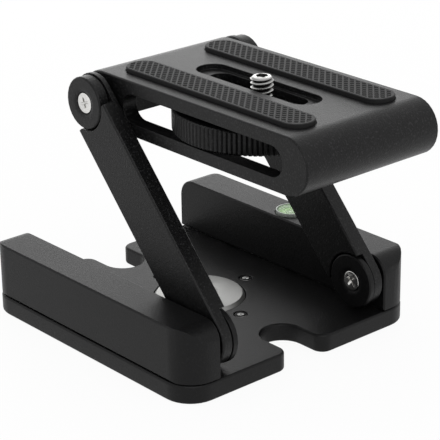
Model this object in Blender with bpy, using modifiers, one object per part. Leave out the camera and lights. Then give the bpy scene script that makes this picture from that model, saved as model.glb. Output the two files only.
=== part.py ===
"""Folding Z-shaped tilt head for a tripod.

A floor plate with two side rails carries a pair of swinging arms, and the arms
carry a slotted camera plate with a knurled wheel on a sliding camera screw.
Metres, +Z up, +X towards the front notch, origin on the table under the centre.
"""

import math

import bmesh
import bpy
from mathutils import Matrix, Vector

MM = 0.001

# Fits shared by every piece
GAP = 0.3 * MM
OVERRUN = 1.0 * MM
ARC_STEP = math.radians(11.25)
DISC_STEPS = 28
RING_STEPS = 20
SCREW_STEPS = 12

# Floor plate
BASE_LENGTH = 89.6 * MM
BASE_WIDTH = 85.0 * MM
FLOOR_THICKNESS = 5.4 * MM
FLOOR_CORNER = 8.6 * MM
FLOOR_EDGE = 0.6 * MM
NOTCH_WIDTH = 12.2 * MM
NOTCH_DEPTH = 15.5 * MM
NOTCH_LIP = 3.6 * MM

# Side rails
RAIL_WIDTH = 11.6 * MM
RAIL_HEIGHT = 15.8 * MM
RAIL_INSET = 0.3 * MM
RAIL_END_RADIUS = 5.5 * MM
RAIL_EDGE = 0.4 * MM
RAIL_SCREW_SPACING = 28.0 * MM
RAIL_SCREW_RADIUS = 1.5 * MM
RAIL_SCREW_HEAD = 2.8 * MM
RAIL_SCREW_GRIP = 6.5 * MM

# Tripod insert and its four screws
INSERT_RADIUS = 13.3 * MM
INSERT_RISE = 0.8 * MM
INSERT_CHAMFER = 0.9 * MM
FLANGE_WIDTH = 9.4 * MM
FLANGE_THICKNESS = 2.0 * MM
TRIPOD_THREAD_RADIUS = 4.76 * MM
TRIPOD_CHAMFER = 0.8 * MM
INSERT_SCREW_RADIUS = 1.0 * MM
INSERT_SCREW_HEAD = 1.7 * MM
INSERT_SCREW_HEAD_HEIGHT = 1.2 * MM
INSERT_SCREW_COUNT = 4

# Round level in one rail
LEVEL_SIDE = "left"
LEVEL_RADIUS = 4.5 * MM
LEVEL_RISE = 0.9 * MM
LEVEL_DEPTH = 4.6 * MM
LEVEL_WALL = 0.7 * MM
LEVEL_LENS = 0.8 * MM

# Swinging arms
ARM_SPAN = 72.7 * MM
ARM_ANGLE = math.radians(47.5)
ARM_WIDTH = 15.6 * MM
ARM_THICKNESS = 5.3 * MM
ARM_EDGE = 0.4 * MM
UPPER_TONGUE = 1.8 * MM
LOWER_TONGUE = 3.2 * MM
LOWER_PIVOT_INSET = 7.7 * MM
LOWER_PIVOT_RISE = 8.87 * MM

# Hinge hardware
UPPER_CAP_MARGIN = 0.4 * MM
LOWER_CAP_OVERHANG = 0.2 * MM
SHOULDER_REACH = 4.6 * MM
SEAT_GAP = 0.5 * MM
CAP_EDGE = 0.35 * MM
CAP_DISH_RADIUS = 4.2 * MM
CAP_DISH_DEPTH = 0.3 * MM
HUB_RADIUS = 3.4 * MM
WASHER_RADIUS = 6.3 * MM
LOWER_WASHER = 0.5 * MM
WASHER_POCKET_DEPTH = 0.4 * MM
UPPER_WASHER = 0.5 * MM
PIVOT_SCREW_RADIUS = 1.5 * MM
PIVOT_SCREW_HEAD = 2.9 * MM
LOWER_SCREW_GRIP = 6.5 * MM

# Camera plate
DECK_THICKNESS = 15.8 * MM
DECK_SPAN = 73.9 * MM
DECK_EDGE = 0.5 * MM
WINDOW_START = 9.4 * MM
WINDOW_LENGTH = 63.3 * MM
WINDOW_HEIGHT = 8.3 * MM
CHEEK_THICKNESS = 4.7 * MM
POCKET_REACH = 1.95 * MM
POCKET_END_MARGIN = 0.5 * MM
POCKET_CORNER = 2.0 * MM
POCKET_DEPTH = 10.4 * MM
SLOT_START = 20.0 * MM
SLOT_LENGTH = 35.8 * MM
SLOT_WIDTH = 7.0 * MM
RECESS_END_MARGIN = 4.8 * MM
RECESS_SIDE_MARGIN = 1.2 * MM
RECESS_DEPTH = 1.5 * MM

# Rubber pads
PAD_START = 2.55 * MM
PAD_LENGTH = 70.3 * MM
PAD_WIDTH = 9.5 * MM
PAD_RISE = 1.2 * MM
PAD_SIDE_MARGIN = 4.5 * MM
PAD_POCKET_DEPTH = 0.5 * MM
PAD_EDGE = 0.3 * MM

# Knurled wheel and camera screw
WHEEL_CLEARANCE = 0.3 * MM
WHEEL_THICKNESS = 6.6 * MM
WHEEL_HEADROOM = 1.3 * MM
WHEEL_CHAMFER = 0.5 * MM
WHEEL_RIBS = 112
RIB_DEPTH = 0.5 * MM
WHEEL_PLACE = 39.6 * MM
SLIDE_WASHER_THICKNESS = 1.2 * MM
SLIDE_WASHER_RADIUS = 7.0 * MM
CAMERA_SCREW_RADIUS = 3.15 * MM
CAMERA_SCREW_RISE = 2.7 * MM
CAMERA_SCREW_CHAMFER = 0.6 * MM
STEM_RADIUS = 2.3 * MM
NUT_RADIUS = 4.6 * MM
NUT_THICKNESS = 1.5 * MM
NUT_SIDES = 6

# Places that follow from the sizes above
UPPER_CAP_RADIUS = ARM_WIDTH / 2 - UPPER_CAP_MARGIN
LOWER_CAP_RADIUS = ARM_WIDTH / 2 + LOWER_CAP_OVERHANG
RAIL_CENTRE_Y = BASE_WIDTH / 2 - RAIL_INSET - RAIL_WIDTH / 2
RAIL_INNER_Y = RAIL_CENTRE_Y - RAIL_WIDTH / 2
RAIL_BOTTOM = FLOOR_THICKNESS + GAP
RAIL_TOP = RAIL_BOTTOM + RAIL_HEIGHT
RAIL_SEAT_Y = RAIL_INNER_Y + WASHER_POCKET_DEPTH
ARM_OUTER_Y = RAIL_SEAT_Y - LOWER_WASHER - 2 * GAP
ARM_INNER_Y = ARM_OUTER_Y - ARM_THICKNESS
ARM_CENTRE_Y = ARM_OUTER_Y - ARM_THICKNESS / 2
DECK_HALF_WIDTH = ARM_INNER_Y - UPPER_WASHER - 2 * GAP
UPPER_SCREW_GRIP = CHEEK_THICKNESS - GAP
WHEEL_RADIUS = ARM_INNER_Y - WHEEL_CLEARANCE
FLANGE_RADIUS = INSERT_RADIUS + FLANGE_WIDTH
LOWER_PIVOT = Vector((BASE_LENGTH / 2 - LOWER_PIVOT_INSET, 0, FLOOR_THICKNESS + LOWER_PIVOT_RISE))
UPPER_PIVOT = LOWER_PIVOT + Vector((-math.cos(ARM_ANGLE), 0, math.sin(ARM_ANGLE))) * ARM_SPAN
DECK_TOP = UPPER_PIVOT.z + DECK_THICKNESS / 2
WINDOW_CEILING = UPPER_PIVOT.z + WINDOW_HEIGHT / 2
WHEEL_TOP = WINDOW_CEILING - WHEEL_HEADROOM
WHEEL_BOTTOM = WHEEL_TOP - WHEEL_THICKNESS
WASHER_SEAT = WINDOW_CEILING - SLIDE_WASHER_THICKNESS - 2 * GAP
WHEEL_X = UPPER_PIVOT.x + WHEEL_PLACE

# Finishes: colour, roughness, metallic
BLACK_ANODISED = ("black_anodised", (0.022, 0.022, 0.023), 0.42, 0.85)
BLACK_STEEL = ("black_steel", (0.012, 0.012, 0.013), 0.35, 0.9)
BRIGHT_STEEL = ("bright_steel", (0.62, 0.61, 0.59), 0.25, 1.0)
BRUSHED_ALUMINIUM = ("brushed_aluminium", (0.55, 0.55, 0.54), 0.35, 1.0)
BLACK_RUBBER = ("black_rubber", (0.015, 0.015, 0.016), 0.85, 0.0)
WHITE_NYLON = ("white_nylon", (0.75, 0.74, 0.7), 0.55, 0.0)
BLACK_NYLON = ("black_nylon", (0.02, 0.02, 0.02), 0.5, 0.0)
CLEAR_ACRYLIC = ("clear_acrylic", (0.8, 0.88, 0.8), 0.08, 0.0)
LEVEL_GREEN = ("level_green", (0.45, 0.75, 0.2), 0.1, 0.0)

X_AXIS = Vector((1, 0, 0))
Y_AXIS = Vector((0, 1, 0))
Z_AXIS = Vector((0, 0, 1))


def clear_scene():
    """Remove every object that the file opened with."""
    for item in list(bpy.data.objects):
        bpy.data.objects.remove(item, do_unlink=True)


def new_collection(name):
    """Collection linked to the scene."""
    made = bpy.data.collections.new(name)
    bpy.context.scene.collection.children.link(made)
    return made


def finish_material(finish):
    """Principled material for a finish, shared by the pieces that have it."""
    name, colour, roughness, metallic = finish
    made = bpy.data.materials.get(name)
    if made is None:
        made = bpy.data.materials.new(name)
        made.use_nodes = True
        shader = made.node_tree.nodes["Principled BSDF"]
        shader.inputs["Base Color"].default_value = (*colour, 1)
        shader.inputs["Roughness"].default_value = roughness
        shader.inputs["Metallic"].default_value = metallic
    return made


def fillet_outline(corners):
    """Closed outline from (x, y, radius) corners, each corner turned into an arc."""
    points = []
    count = len(corners)
    for index, (x, y, radius) in enumerate(corners):
        here = Vector((x, y))
        back = (Vector(corners[index - 1][:2]) - here).normalized()
        ahead = (Vector(corners[(index + 1) % count][:2]) - here).normalized()
        if radius == 0:
            points.append(here)
            continue
        half = back.angle(ahead) / 2
        centre = here + (back + ahead).normalized() * (radius / math.sin(half))
        start = here + back * (radius / math.tan(half)) - centre
        sweep = math.pi - 2 * half
        turn = 1 if back.x * ahead.y - back.y * ahead.x < 0 else -1
        steps = max(2, math.ceil(sweep / ARC_STEP - 0.01))
        for step in range(steps + 1):
            angle = turn * sweep * step / steps
            points.append(centre + Matrix.Rotation(angle, 2) @ start)
    return [p for i, p in enumerate(points) if (p - points[i - 1]).length > GAP / 10]


def stadium(start, length, width, middle=0):
    """Outline of a bar with full round ends, lying along x from start."""
    low, high, round_end = middle - width / 2, middle + width / 2, width / 2
    return fillet_outline([(start, low, round_end), (start + length, low, round_end),
                           (start + length, high, round_end), (start, high, round_end)])


def finish_object(item, finish=None, sharp=35):
    """Link an object as a piece with its finish, or as a hidden cutter."""
    (PARTS if finish else CUTTERS).objects.link(item)
    if finish:
        item.data.materials.append(finish_material(finish))
        item.data.shade_smooth()
        item.data.set_sharp_from_angle(angle=math.radians(sharp))
    else:
        item.hide_render = True
        item.display_type = "WIRE"
    return item


def round_rims(shape, edge, segments):
    """Close both flat ends of an extruded shape with rims rounded to the edge radius."""
    for facing in (1, -1):
        cap = [face for face in shape.faces if all(vertex.co.z * facing > 0 for vertex in face.verts)]
        cap = bmesh.ops.dissolve_faces(shape, faces=cap)["region"]
        for step in range(segments if edge else 0):
            low, high = (math.pi / 2 * turn / segments for turn in (step, step + 1))
            bmesh.ops.inset_region(shape, faces=cap, use_even_offset=True,
                                   thickness=edge * (math.cos(low) - math.cos(high)),
                                   depth=edge * (math.sin(high) - math.sin(low)))


def outline_solid(name, outline, thickness, place, upright=False, edge=0, segments=2, finish=None):
    """Flat outline extruded evenly both ways; upright outlines lie in the XZ plane."""
    curve = bpy.data.curves.new(name + "_outline", "CURVE")
    curve.dimensions = "2D"
    curve.fill_mode = "BOTH"
    curve.extrude = thickness / 2 - edge
    spline = curve.splines.new("POLY")
    spline.points.add(len(outline) - 1)
    for point, (x, y) in zip(spline.points, outline):
        point.co = (x, y, 0, 1)
    spline.use_cyclic_u = True
    drawn = bpy.data.objects.new(name + "_outline", curve)
    bpy.context.scene.collection.objects.link(drawn)
    graph = bpy.context.evaluated_depsgraph_get()
    mesh = bpy.data.meshes.new_from_object(drawn.evaluated_get(graph))
    mesh.name = name
    bpy.data.objects.remove(drawn, do_unlink=True)
    shape = bmesh.new()
    shape.from_mesh(mesh)
    bmesh.ops.remove_doubles(shape, verts=shape.verts, dist=GAP / 30)
    round_rims(shape, edge, segments)
    if upright:
        bmesh.ops.rotate(shape, verts=shape.verts, matrix=Matrix.Rotation(math.pi / 2, 3, "X"))
    bmesh.ops.recalc_face_normals(shape, faces=shape.faces)
    shape.to_mesh(mesh)
    shape.free()
    item = bpy.data.objects.new(name, mesh)
    item.location = place
    return finish_object(item, finish)


def turned_solid(name, profile, steps, place, axis=Z_AXIS, finish=None):
    """Profile of (radius, height) points turned round an axis.

    The points run down the outer side. A profile that leaves the axis at both
    ends is closed up its inner side and makes a ring.
    """
    mesh = bpy.data.meshes.new(name)
    vertices = [(radius, 0, height) for radius, height in profile]
    edges = [(i, i + 1) for i in range(len(profile) - 1)]
    if profile[0][0] > 0:
        edges.append((len(profile) - 1, 0))
    mesh.from_pydata(vertices, edges, [])
    item = bpy.data.objects.new(name, mesh)
    item.location = place
    item.rotation_euler = Z_AXIS.rotation_difference(axis).to_euler()
    finish_object(item, finish)
    screw = item.modifiers.new("turn", "SCREW")
    screw.steps = steps
    screw.render_steps = steps
    screw.use_merge_vertices = True
    screw.merge_threshold = GAP / 30
    screw.use_smooth_shade = True
    return item


def cylinder_cutter(name, radius, depth, place, axis=Z_AXIS, steps=SCREW_STEPS):
    """Round cutter that starts at place and runs along axis."""
    return turned_solid(name, [(0, depth), (radius, depth), (radius, 0), (0, 0)], steps, place, axis)


def cut(item, cutters):
    """Take all the cutters out of a piece in one exact Boolean."""
    group = bpy.data.collections.new(item.name + "_cutters")
    CUTTERS.children.link(group)
    for cutter in cutters:
        CUTTERS.objects.unlink(cutter)
        group.objects.link(cutter)
    boolean = item.modifiers.new("cuts", "BOOLEAN")
    boolean.operand_type = "COLLECTION"
    boolean.collection = group
    return item


def keep_inside(item, limit):
    """Keep only what lies inside another closed shape."""
    boolean = item.modifiers.new("limit", "BOOLEAN")
    boolean.operation = "INTERSECT"
    boolean.object = limit
    return item


def sides():
    """The two mirror sides as (name, sign): the left side is +Y."""
    return (("left", 1), ("right", -1))


def countersunk_profile(head, radius, length):
    """Screw with a flush 90 degree head whose face is at height 0, pointing down."""
    rim = radius / 5
    seat = head - radius
    return [(0, 0), (head, 0), (head, -rim), (radius, -rim - seat), (radius, -length), (0, -length)]


def countersunk_bore(head, radius, length):
    """Clearance shape for the same screw, open above its head."""
    rim = radius / 5
    wide, narrow = head + GAP, radius + GAP
    seat = wide - narrow
    return [(0, OVERRUN), (wide, OVERRUN), (wide, -rim), (narrow, -rim - seat),
            (narrow, -length - GAP), (0, -length - GAP)]


def rail_screw_places(sign):
    """Centres of the screws that hold one rail, on the floor plate's underside."""
    return [Vector((RAIL_SCREW_SPACING * step, sign * RAIL_CENTRE_Y, 0)) for step in (-1, 0, 1)]


def insert_screw_places():
    """Centres of the insert's screws, on the floor's upper face."""
    circle = INSERT_RADIUS + FLANGE_WIDTH / 2
    turns = [2 * math.pi * i / INSERT_SCREW_COUNT for i in range(INSERT_SCREW_COUNT)]
    return [Vector((math.cos(t) * circle, math.sin(t) * circle, FLOOR_THICKNESS)) for t in turns]


RAIL_SCREW_LENGTH = FLOOR_THICKNESS + GAP + RAIL_SCREW_GRIP
INSERT_SCREW_LENGTH = FLOOR_THICKNESS - FLANGE_THICKNESS / 2
RAIL_SCREW_FITS = (RAIL_SCREW_HEAD, RAIL_SCREW_RADIUS, RAIL_SCREW_LENGTH)


def floor_plate():
    """Floor plate with a U notch at each end, the insert's seat and the screw holes."""
    half_x, half_y, mouth = BASE_LENGTH / 2, BASE_WIDTH / 2, NOTCH_WIDTH / 2
    deep = half_x - NOTCH_DEPTH
    front = [(half_x, -half_y, FLOOR_CORNER), (half_x, -mouth, NOTCH_LIP), (deep, -mouth, mouth),
             (deep, mouth, mouth), (half_x, mouth, NOTCH_LIP), (half_x, half_y, FLOOR_CORNER)]
    rear = [(-x, -y, radius) for x, y, radius in front]
    plate = outline_solid("floor_plate", fillet_outline(front + rear), FLOOR_THICKNESS,
                          (0, 0, FLOOR_THICKNESS / 2), edge=FLOOR_EDGE, finish=BLACK_ANODISED)
    seat = FLANGE_THICKNESS + GAP
    bore = [(0, FLOOR_THICKNESS + OVERRUN), (INSERT_RADIUS + GAP, FLOOR_THICKNESS + OVERRUN),
            (INSERT_RADIUS + GAP, seat), (FLANGE_RADIUS + GAP, seat), (FLANGE_RADIUS + GAP, -OVERRUN),
            (0, -OVERRUN)]
    holes = [turned_solid("insert_seat", bore, DISC_STEPS, (0, 0, 0))]
    for index, place in enumerate(insert_screw_places()):
        holes.append(turned_solid(f"insert_screw_hole_{index}", insert_screw_bore(), SCREW_STEPS, place))
    for side, sign in sides():
        for index, place in enumerate(rail_screw_places(sign)):
            holes.append(turned_solid(f"floor_hole_{side}_{index}", countersunk_bore(*RAIL_SCREW_FITS),
                                      SCREW_STEPS, place, -Z_AXIS))
    cut(plate, holes)


def insert_screw_bore():
    """Counterbored clearance for a small cheese-head screw, from the floor's face down."""
    head, shank = INSERT_SCREW_HEAD + GAP, INSERT_SCREW_RADIUS + GAP
    seat = INSERT_SCREW_HEAD_HEIGHT + GAP
    end = FLANGE_THICKNESS / 2 - FLOOR_THICKNESS
    return [(0, OVERRUN), (head, OVERRUN), (head, -seat), (shank, -seat), (shank, end), (0, end)]


def insert_screws():
    """Four small screws through the floor into the insert's flange."""
    head, shank = INSERT_SCREW_HEAD, INSERT_SCREW_RADIUS
    under = INSERT_SCREW_HEAD_HEIGHT
    profile = [(0, 0), (head, 0), (head, -under), (shank, -under),
               (shank, -INSERT_SCREW_LENGTH), (0, -INSERT_SCREW_LENGTH)]
    return [turned_solid(f"insert_screw_{index + 1}", profile, SCREW_STEPS, place, finish=BLACK_STEEL)
            for index, place in enumerate(insert_screw_places())]


def tripod_insert():
    """Bright stepped disc with the tripod thread's bore, held by its flange from below."""
    top = FLOOR_THICKNESS + INSERT_RISE
    bore, lead = TRIPOD_THREAD_RADIUS, TRIPOD_THREAD_RADIUS + TRIPOD_CHAMFER
    profile = [(lead, top), (INSERT_RADIUS - INSERT_CHAMFER, top), (INSERT_RADIUS, top - INSERT_CHAMFER),
               (INSERT_RADIUS, FLANGE_THICKNESS), (FLANGE_RADIUS, FLANGE_THICKNESS), (FLANGE_RADIUS, 0),
               (lead, 0), (bore, TRIPOD_CHAMFER), (bore, top - TRIPOD_CHAMFER)]
    insert = turned_solid("tripod_insert", profile, DISC_STEPS, (0, 0, 0), finish=BRUSHED_ALUMINIUM)
    depth = INSERT_SCREW_LENGTH + GAP - FLOOR_THICKNESS + FLANGE_THICKNESS
    drop = Vector((0, 0, FLANGE_THICKNESS - depth - FLOOR_THICKNESS))
    cut(insert, [cylinder_cutter(f"flange_hole_{index}", INSERT_SCREW_RADIUS + GAP, depth + OVERRUN,
                                 place + drop)
                 for index, place in enumerate(insert_screw_places())])


def side_rail(side, sign):
    """Rail with rounded ends, its outer upright corners following the floor plate's."""
    half_x = BASE_LENGTH / 2
    profile = fillet_outline([(-half_x, RAIL_BOTTOM, 0), (half_x, RAIL_BOTTOM, 0),
                              (half_x, RAIL_TOP, RAIL_END_RADIUS), (-half_x, RAIL_TOP, RAIL_END_RADIUS)])
    rail = outline_solid(f"{side}_rail", profile, RAIL_WIDTH, (0, sign * RAIL_CENTRE_Y, 0),
                         upright=True, edge=RAIL_EDGE, segments=1, finish=BLACK_ANODISED)
    corner = FLOOR_CORNER - RAIL_INSET
    outer, inner = RAIL_WIDTH / 2, -RAIL_WIDTH / 2 - OVERRUN
    plan = fillet_outline([(-half_x, sign * outer, corner), (-half_x, sign * inner, 0),
                           (half_x, sign * inner, 0), (half_x, sign * outer, corner)])
    middle = (RAIL_BOTTOM + RAIL_TOP) / 2
    keep_inside(rail, outline_solid(f"{side}_rail_plan", plan, RAIL_HEIGHT + 2 * OVERRUN,
                                    (0, sign * RAIL_CENTRE_Y, middle)))
    holes = [cylinder_cutter(f"{side}_rail_hole_{index}", RAIL_SCREW_RADIUS + GAP,
                             RAIL_SCREW_LENGTH + GAP, place)
             for index, place in enumerate(rail_screw_places(sign))]
    pivot = LOWER_PIVOT + Y_AXIS * (sign * (RAIL_SEAT_Y - OVERRUN))
    bore, pocket, deep = PIVOT_SCREW_RADIUS + GAP, WASHER_RADIUS + GAP, OVERRUN + LOWER_SCREW_GRIP + GAP
    holes.append(turned_solid(f"{side}_rail_pivot_hole", [
        (0, deep), (bore, deep), (bore, OVERRUN), (pocket, OVERRUN), (pocket, 0), (0, 0)],
        RING_STEPS, pivot, Y_AXIS * sign))
    if side == LEVEL_SIDE:
        bottom = Vector((0, sign * RAIL_CENTRE_Y, RAIL_TOP - LEVEL_DEPTH - GAP))
        holes.append(cylinder_cutter("level_pocket", LEVEL_RADIUS + GAP, LEVEL_DEPTH + GAP + OVERRUN,
                                     bottom, steps=DISC_STEPS))
    cut(rail, holes)


def rail_screws(side, sign):
    """Countersunk screws up through the floor plate into one rail."""
    profile = countersunk_profile(*RAIL_SCREW_FITS)
    return [turned_solid(f"{side}_rail_screw_{index + 1}", profile, SCREW_STEPS, place, -Z_AXIS,
                         finish=BLACK_STEEL)
            for index, place in enumerate(rail_screw_places(sign))]


def round_level():
    """Bubble level in the left rail: cup, liquid and lens."""
    base = Vector((0, RAIL_CENTRE_Y, RAIL_TOP - LEVEL_DEPTH))
    height = LEVEL_DEPTH + LEVEL_RISE
    inner = LEVEL_RADIUS - LEVEL_WALL
    ledge = height - LEVEL_LENS
    lens_radius = LEVEL_RADIUS - LEVEL_WALL / 2
    cup = [(0, LEVEL_WALL), (inner, LEVEL_WALL), (inner, ledge), (lens_radius, ledge), (lens_radius, height),
           (LEVEL_RADIUS, height), (LEVEL_RADIUS, 0), (0, 0)]
    turned_solid("level_cup", cup, DISC_STEPS, base, finish=WHITE_NYLON)
    liquid = inner - GAP
    turned_solid("level_liquid", [(0, ledge - GAP), (liquid, ledge - GAP), (liquid, LEVEL_WALL + GAP),
                                  (0, LEVEL_WALL + GAP)], RING_STEPS, base, finish=LEVEL_GREEN)
    lens = lens_radius - GAP
    turned_solid("level_lens", [(0, height), (lens, height), (lens, ledge + GAP), (0, ledge + GAP)],
                 RING_STEPS, base, finish=CLEAR_ACRYLIC)


def swing_arm(side, sign, pivot_frame):
    """Flat arm with round ends, thinned outside at the top and inside at the bottom."""
    bar = stadium(-ARM_WIDTH / 2, ARM_SPAN + ARM_WIDTH, ARM_WIDTH)
    arm = outline_solid(f"{side}_arm", bar, ARM_THICKNESS, LOWER_PIVOT + Y_AXIS * (sign * ARM_CENTRE_Y),
                        upright=True, edge=ARM_EDGE, segments=1, finish=BLACK_ANODISED)
    upper = [(ARM_SPAN - x, z) for x, z in seat_outline(UPPER_CAP_RADIUS + SEAT_GAP)]
    upper_y = ARM_INNER_Y + UPPER_TONGUE + ARM_THICKNESS / 2
    lower_y = ARM_OUTER_Y - LOWER_TONGUE - ARM_THICKNESS / 2
    seats = [outline_solid(f"{side}_upper_seat", upper, ARM_THICKNESS,
                           LOWER_PIVOT + Y_AXIS * (sign * upper_y), upright=True),
             outline_solid(f"{side}_lower_seat", seat_outline(LOWER_CAP_RADIUS + SEAT_GAP), ARM_THICKNESS,
                           LOWER_PIVOT + Y_AXIS * (sign * lower_y), upright=True)]
    for item in (arm, *seats):
        item.rotation_euler = (0, -(math.pi - ARM_ANGLE), 0)
    bores = [cylinder_cutter(f"{side}_{end}_arm_bore", HUB_RADIUS + GAP, ARM_THICKNESS + 2 * OVERRUN,
                             pivot + Y_AXIS * (sign * (ARM_INNER_Y - OVERRUN)), Y_AXIS * sign)
             for end, pivot in (("upper", UPPER_PIVOT), ("lower", LOWER_PIVOT))]
    cut(arm, seats + bores)
    carry(pivot_frame, arm)


def seat_outline(radius):
    """Thinned end of an arm, with the pivot at 0 and the arm running towards +x.

    It runs straight across as far as the two shoulders and bulges round the cap
    between them.
    """
    side, end = ARM_WIDTH / 2 + OVERRUN, -ARM_WIDTH / 2 - OVERRUN
    opening = math.acos(SHOULDER_REACH / radius)
    steps = math.ceil(2 * opening / ARC_STEP)
    arc = [(radius * math.cos(angle), radius * math.sin(angle))
           for angle in (opening * (2 * step / steps - 1) for step in range(steps + 1))]
    return [(end, -side), (SHOULDER_REACH, -side), *arc, (SHOULDER_REACH, side), (end, side)]


def pivot_cap(name, radius, thickness, reach, place, outward, parent=None):
    """Cap disc that fills the arm's seat, with the hub that the tongue turns on."""
    edge, dish, floor = CAP_EDGE, CAP_DISH_RADIUS, -CAP_DISH_DEPTH
    head, bore = PIVOT_SCREW_HEAD + GAP, PIVOT_SCREW_RADIUS + GAP
    rim = PIVOT_SCREW_RADIUS / 5
    profile = [(dish, 0), (radius - edge, 0), (radius, -edge), (radius, -thickness),
               (HUB_RADIUS, -thickness), (HUB_RADIUS, -reach), (bore, -reach),
               (bore, floor - rim - head + bore), (head, floor - rim), (head, floor)]
    cap = turned_solid(name, profile, DISC_STEPS, place, outward, finish=BLACK_ANODISED)
    carry(parent, cap)
    return cap


def friction_washer(name, thickness, place, axis, parent=None):
    """Nylon ring round the hub, between the tongue and what it turns against."""
    inner = HUB_RADIUS + GAP
    profile = [(inner, thickness / 2), (WASHER_RADIUS, thickness / 2), (WASHER_RADIUS, -thickness / 2),
               (inner, -thickness / 2)]
    washer = turned_solid(name, profile, RING_STEPS, place, axis, finish=BLACK_NYLON)
    carry(parent, washer)


def pivot_screw(name, length, place, outward, parent=None):
    """Countersunk screw through the cap and its hub."""
    profile = countersunk_profile(PIVOT_SCREW_HEAD, PIVOT_SCREW_RADIUS, length)
    screw = turned_solid(name, profile, SCREW_STEPS, place, outward, finish=BRIGHT_STEEL)
    carry(parent, screw)


def lower_hinge(side, sign):
    """Cap, screw and washer between an arm's lower end and its rail."""
    face = LOWER_PIVOT + Y_AXIS * (sign * ARM_INNER_Y)
    inward = Y_AXIS * -sign
    reach = RAIL_SEAT_Y - GAP - ARM_INNER_Y
    pivot_cap(f"{side}_lower_cap", LOWER_CAP_RADIUS, ARM_THICKNESS - LOWER_TONGUE - GAP, reach, face, inward)
    sunk = face - inward * CAP_DISH_DEPTH
    pivot_screw(f"{side}_lower_pivot_screw", reach + GAP - CAP_DISH_DEPTH + LOWER_SCREW_GRIP, sunk, inward)
    middle = LOWER_PIVOT + Y_AXIS * (sign * (RAIL_SEAT_Y + ARM_OUTER_Y) / 2)
    friction_washer(f"{side}_lower_washer", LOWER_WASHER, middle, Y_AXIS * sign)


def upper_hinge(side, sign, deck_frame):
    """Cap, screw and washer between an arm's upper end and the camera plate."""
    face = UPPER_PIVOT + Y_AXIS * (sign * ARM_OUTER_Y)
    outward = Y_AXIS * sign
    reach = ARM_OUTER_Y - DECK_HALF_WIDTH - GAP
    pivot_cap(f"{side}_upper_cap", UPPER_CAP_RADIUS, ARM_THICKNESS - UPPER_TONGUE - GAP, reach, face,
              outward, deck_frame)
    sunk = face - outward * CAP_DISH_DEPTH
    pivot_screw(f"{side}_upper_pivot_screw", reach + GAP - CAP_DISH_DEPTH + UPPER_SCREW_GRIP, sunk,
                outward, deck_frame)
    middle = UPPER_PIVOT + Y_AXIS * (sign * (DECK_HALF_WIDTH + ARM_INNER_Y) / 2)
    friction_washer(f"{side}_upper_washer", UPPER_WASHER, middle, outward, deck_frame)


def camera_deck(deck_frame):
    """Camera plate: side windows, a pocket open below, stepped slot, pad pockets, hinge holes."""
    half = DECK_THICKNESS / 2
    body = stadium(-half, DECK_SPAN + DECK_THICKNESS, DECK_THICKNESS)
    deck = outline_solid("camera_plate", body, 2 * DECK_HALF_WIDTH, UPPER_PIVOT, upright=True,
                         edge=DECK_EDGE, finish=BLACK_ANODISED)
    window = stadium(WINDOW_START, WINDOW_LENGTH, WINDOW_HEIGHT)
    slot = stadium(SLOT_START, SLOT_LENGTH, SLOT_WIDTH)
    recess = stadium(SLOT_START - RECESS_END_MARGIN, SLOT_LENGTH + 2 * RECESS_END_MARGIN,
                     SLOT_WIDTH + 2 * RECESS_SIDE_MARGIN)
    inner, front = DECK_HALF_WIDTH - CHEEK_THICKNESS, WINDOW_START + WINDOW_LENGTH - POCKET_END_MARGIN
    pocket = fillet_outline([(-POCKET_REACH, -inner, POCKET_CORNER), (front, -inner, POCKET_CORNER),
                             (front, inner, POCKET_CORNER), (-POCKET_REACH, inner, POCKET_CORNER)])
    top = Vector((UPPER_PIVOT.x, 0, DECK_TOP))
    slot_depth = half + OVERRUN
    pocket_height = POCKET_DEPTH + OVERRUN
    shapes = [
        outline_solid("under_pocket", pocket, pocket_height,
                      UPPER_PIVOT + Z_AXIS * (pocket_height / 2 - OVERRUN - half)),
        outline_solid("side_windows", window, 2 * (DECK_HALF_WIDTH + OVERRUN), UPPER_PIVOT, upright=True),
        outline_solid("screw_slot", slot, slot_depth, top + Z_AXIS * (OVERRUN - slot_depth / 2)),
        outline_solid("slot_recess", recess, 2 * RECESS_DEPTH, top)]
    for side, sign in sides():
        pocket = stadium(PAD_START - GAP, PAD_LENGTH + 2 * GAP, PAD_WIDTH + 2 * GAP, sign * pad_centre())
        entry = UPPER_PIVOT + Y_AXIS * (sign * (DECK_HALF_WIDTH + OVERRUN))
        shapes.append(outline_solid(f"{side}_pad_pocket", pocket, 2 * PAD_POCKET_DEPTH, top))
        shapes.append(cylinder_cutter(f"{side}_deck_hole", PIVOT_SCREW_RADIUS + GAP,
                                      CHEEK_THICKNESS + 2 * OVERRUN, entry, Y_AXIS * -sign))
    cut(deck, shapes)
    carry(deck_frame, deck)


def pad_centre():
    """Distance of a pad's middle line from the plate's middle."""
    return DECK_HALF_WIDTH - PAD_SIDE_MARGIN - PAD_WIDTH / 2


def rubber_pad(side, sign, deck_frame):
    """Rubber strip with round ends, bedded in its pocket."""
    bottom = DECK_TOP - PAD_POCKET_DEPTH + GAP
    top = DECK_TOP + PAD_RISE
    strip = stadium(PAD_START, PAD_LENGTH, PAD_WIDTH, sign * pad_centre())
    pad = outline_solid(f"{side}_pad", strip, top - bottom, (UPPER_PIVOT.x, 0, (top + bottom) / 2),
                        edge=PAD_EDGE, segments=1, finish=BLACK_RUBBER)
    carry(deck_frame, pad)


def knurled_outline():
    """Wheel outline with a V groove and a flat-topped rib in each share of the turn."""
    shares = ((0, 0), (0.25, 1), (0.75, 1))
    points = []
    for rib in range(WHEEL_RIBS):
        for turn_share, height_share in shares:
            angle = 2 * math.pi * (rib + turn_share) / WHEEL_RIBS
            radius = WHEEL_RADIUS - RIB_DEPTH * (1 - height_share)
            points.append(Vector((radius * math.cos(angle), radius * math.sin(angle))))
    return points


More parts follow.
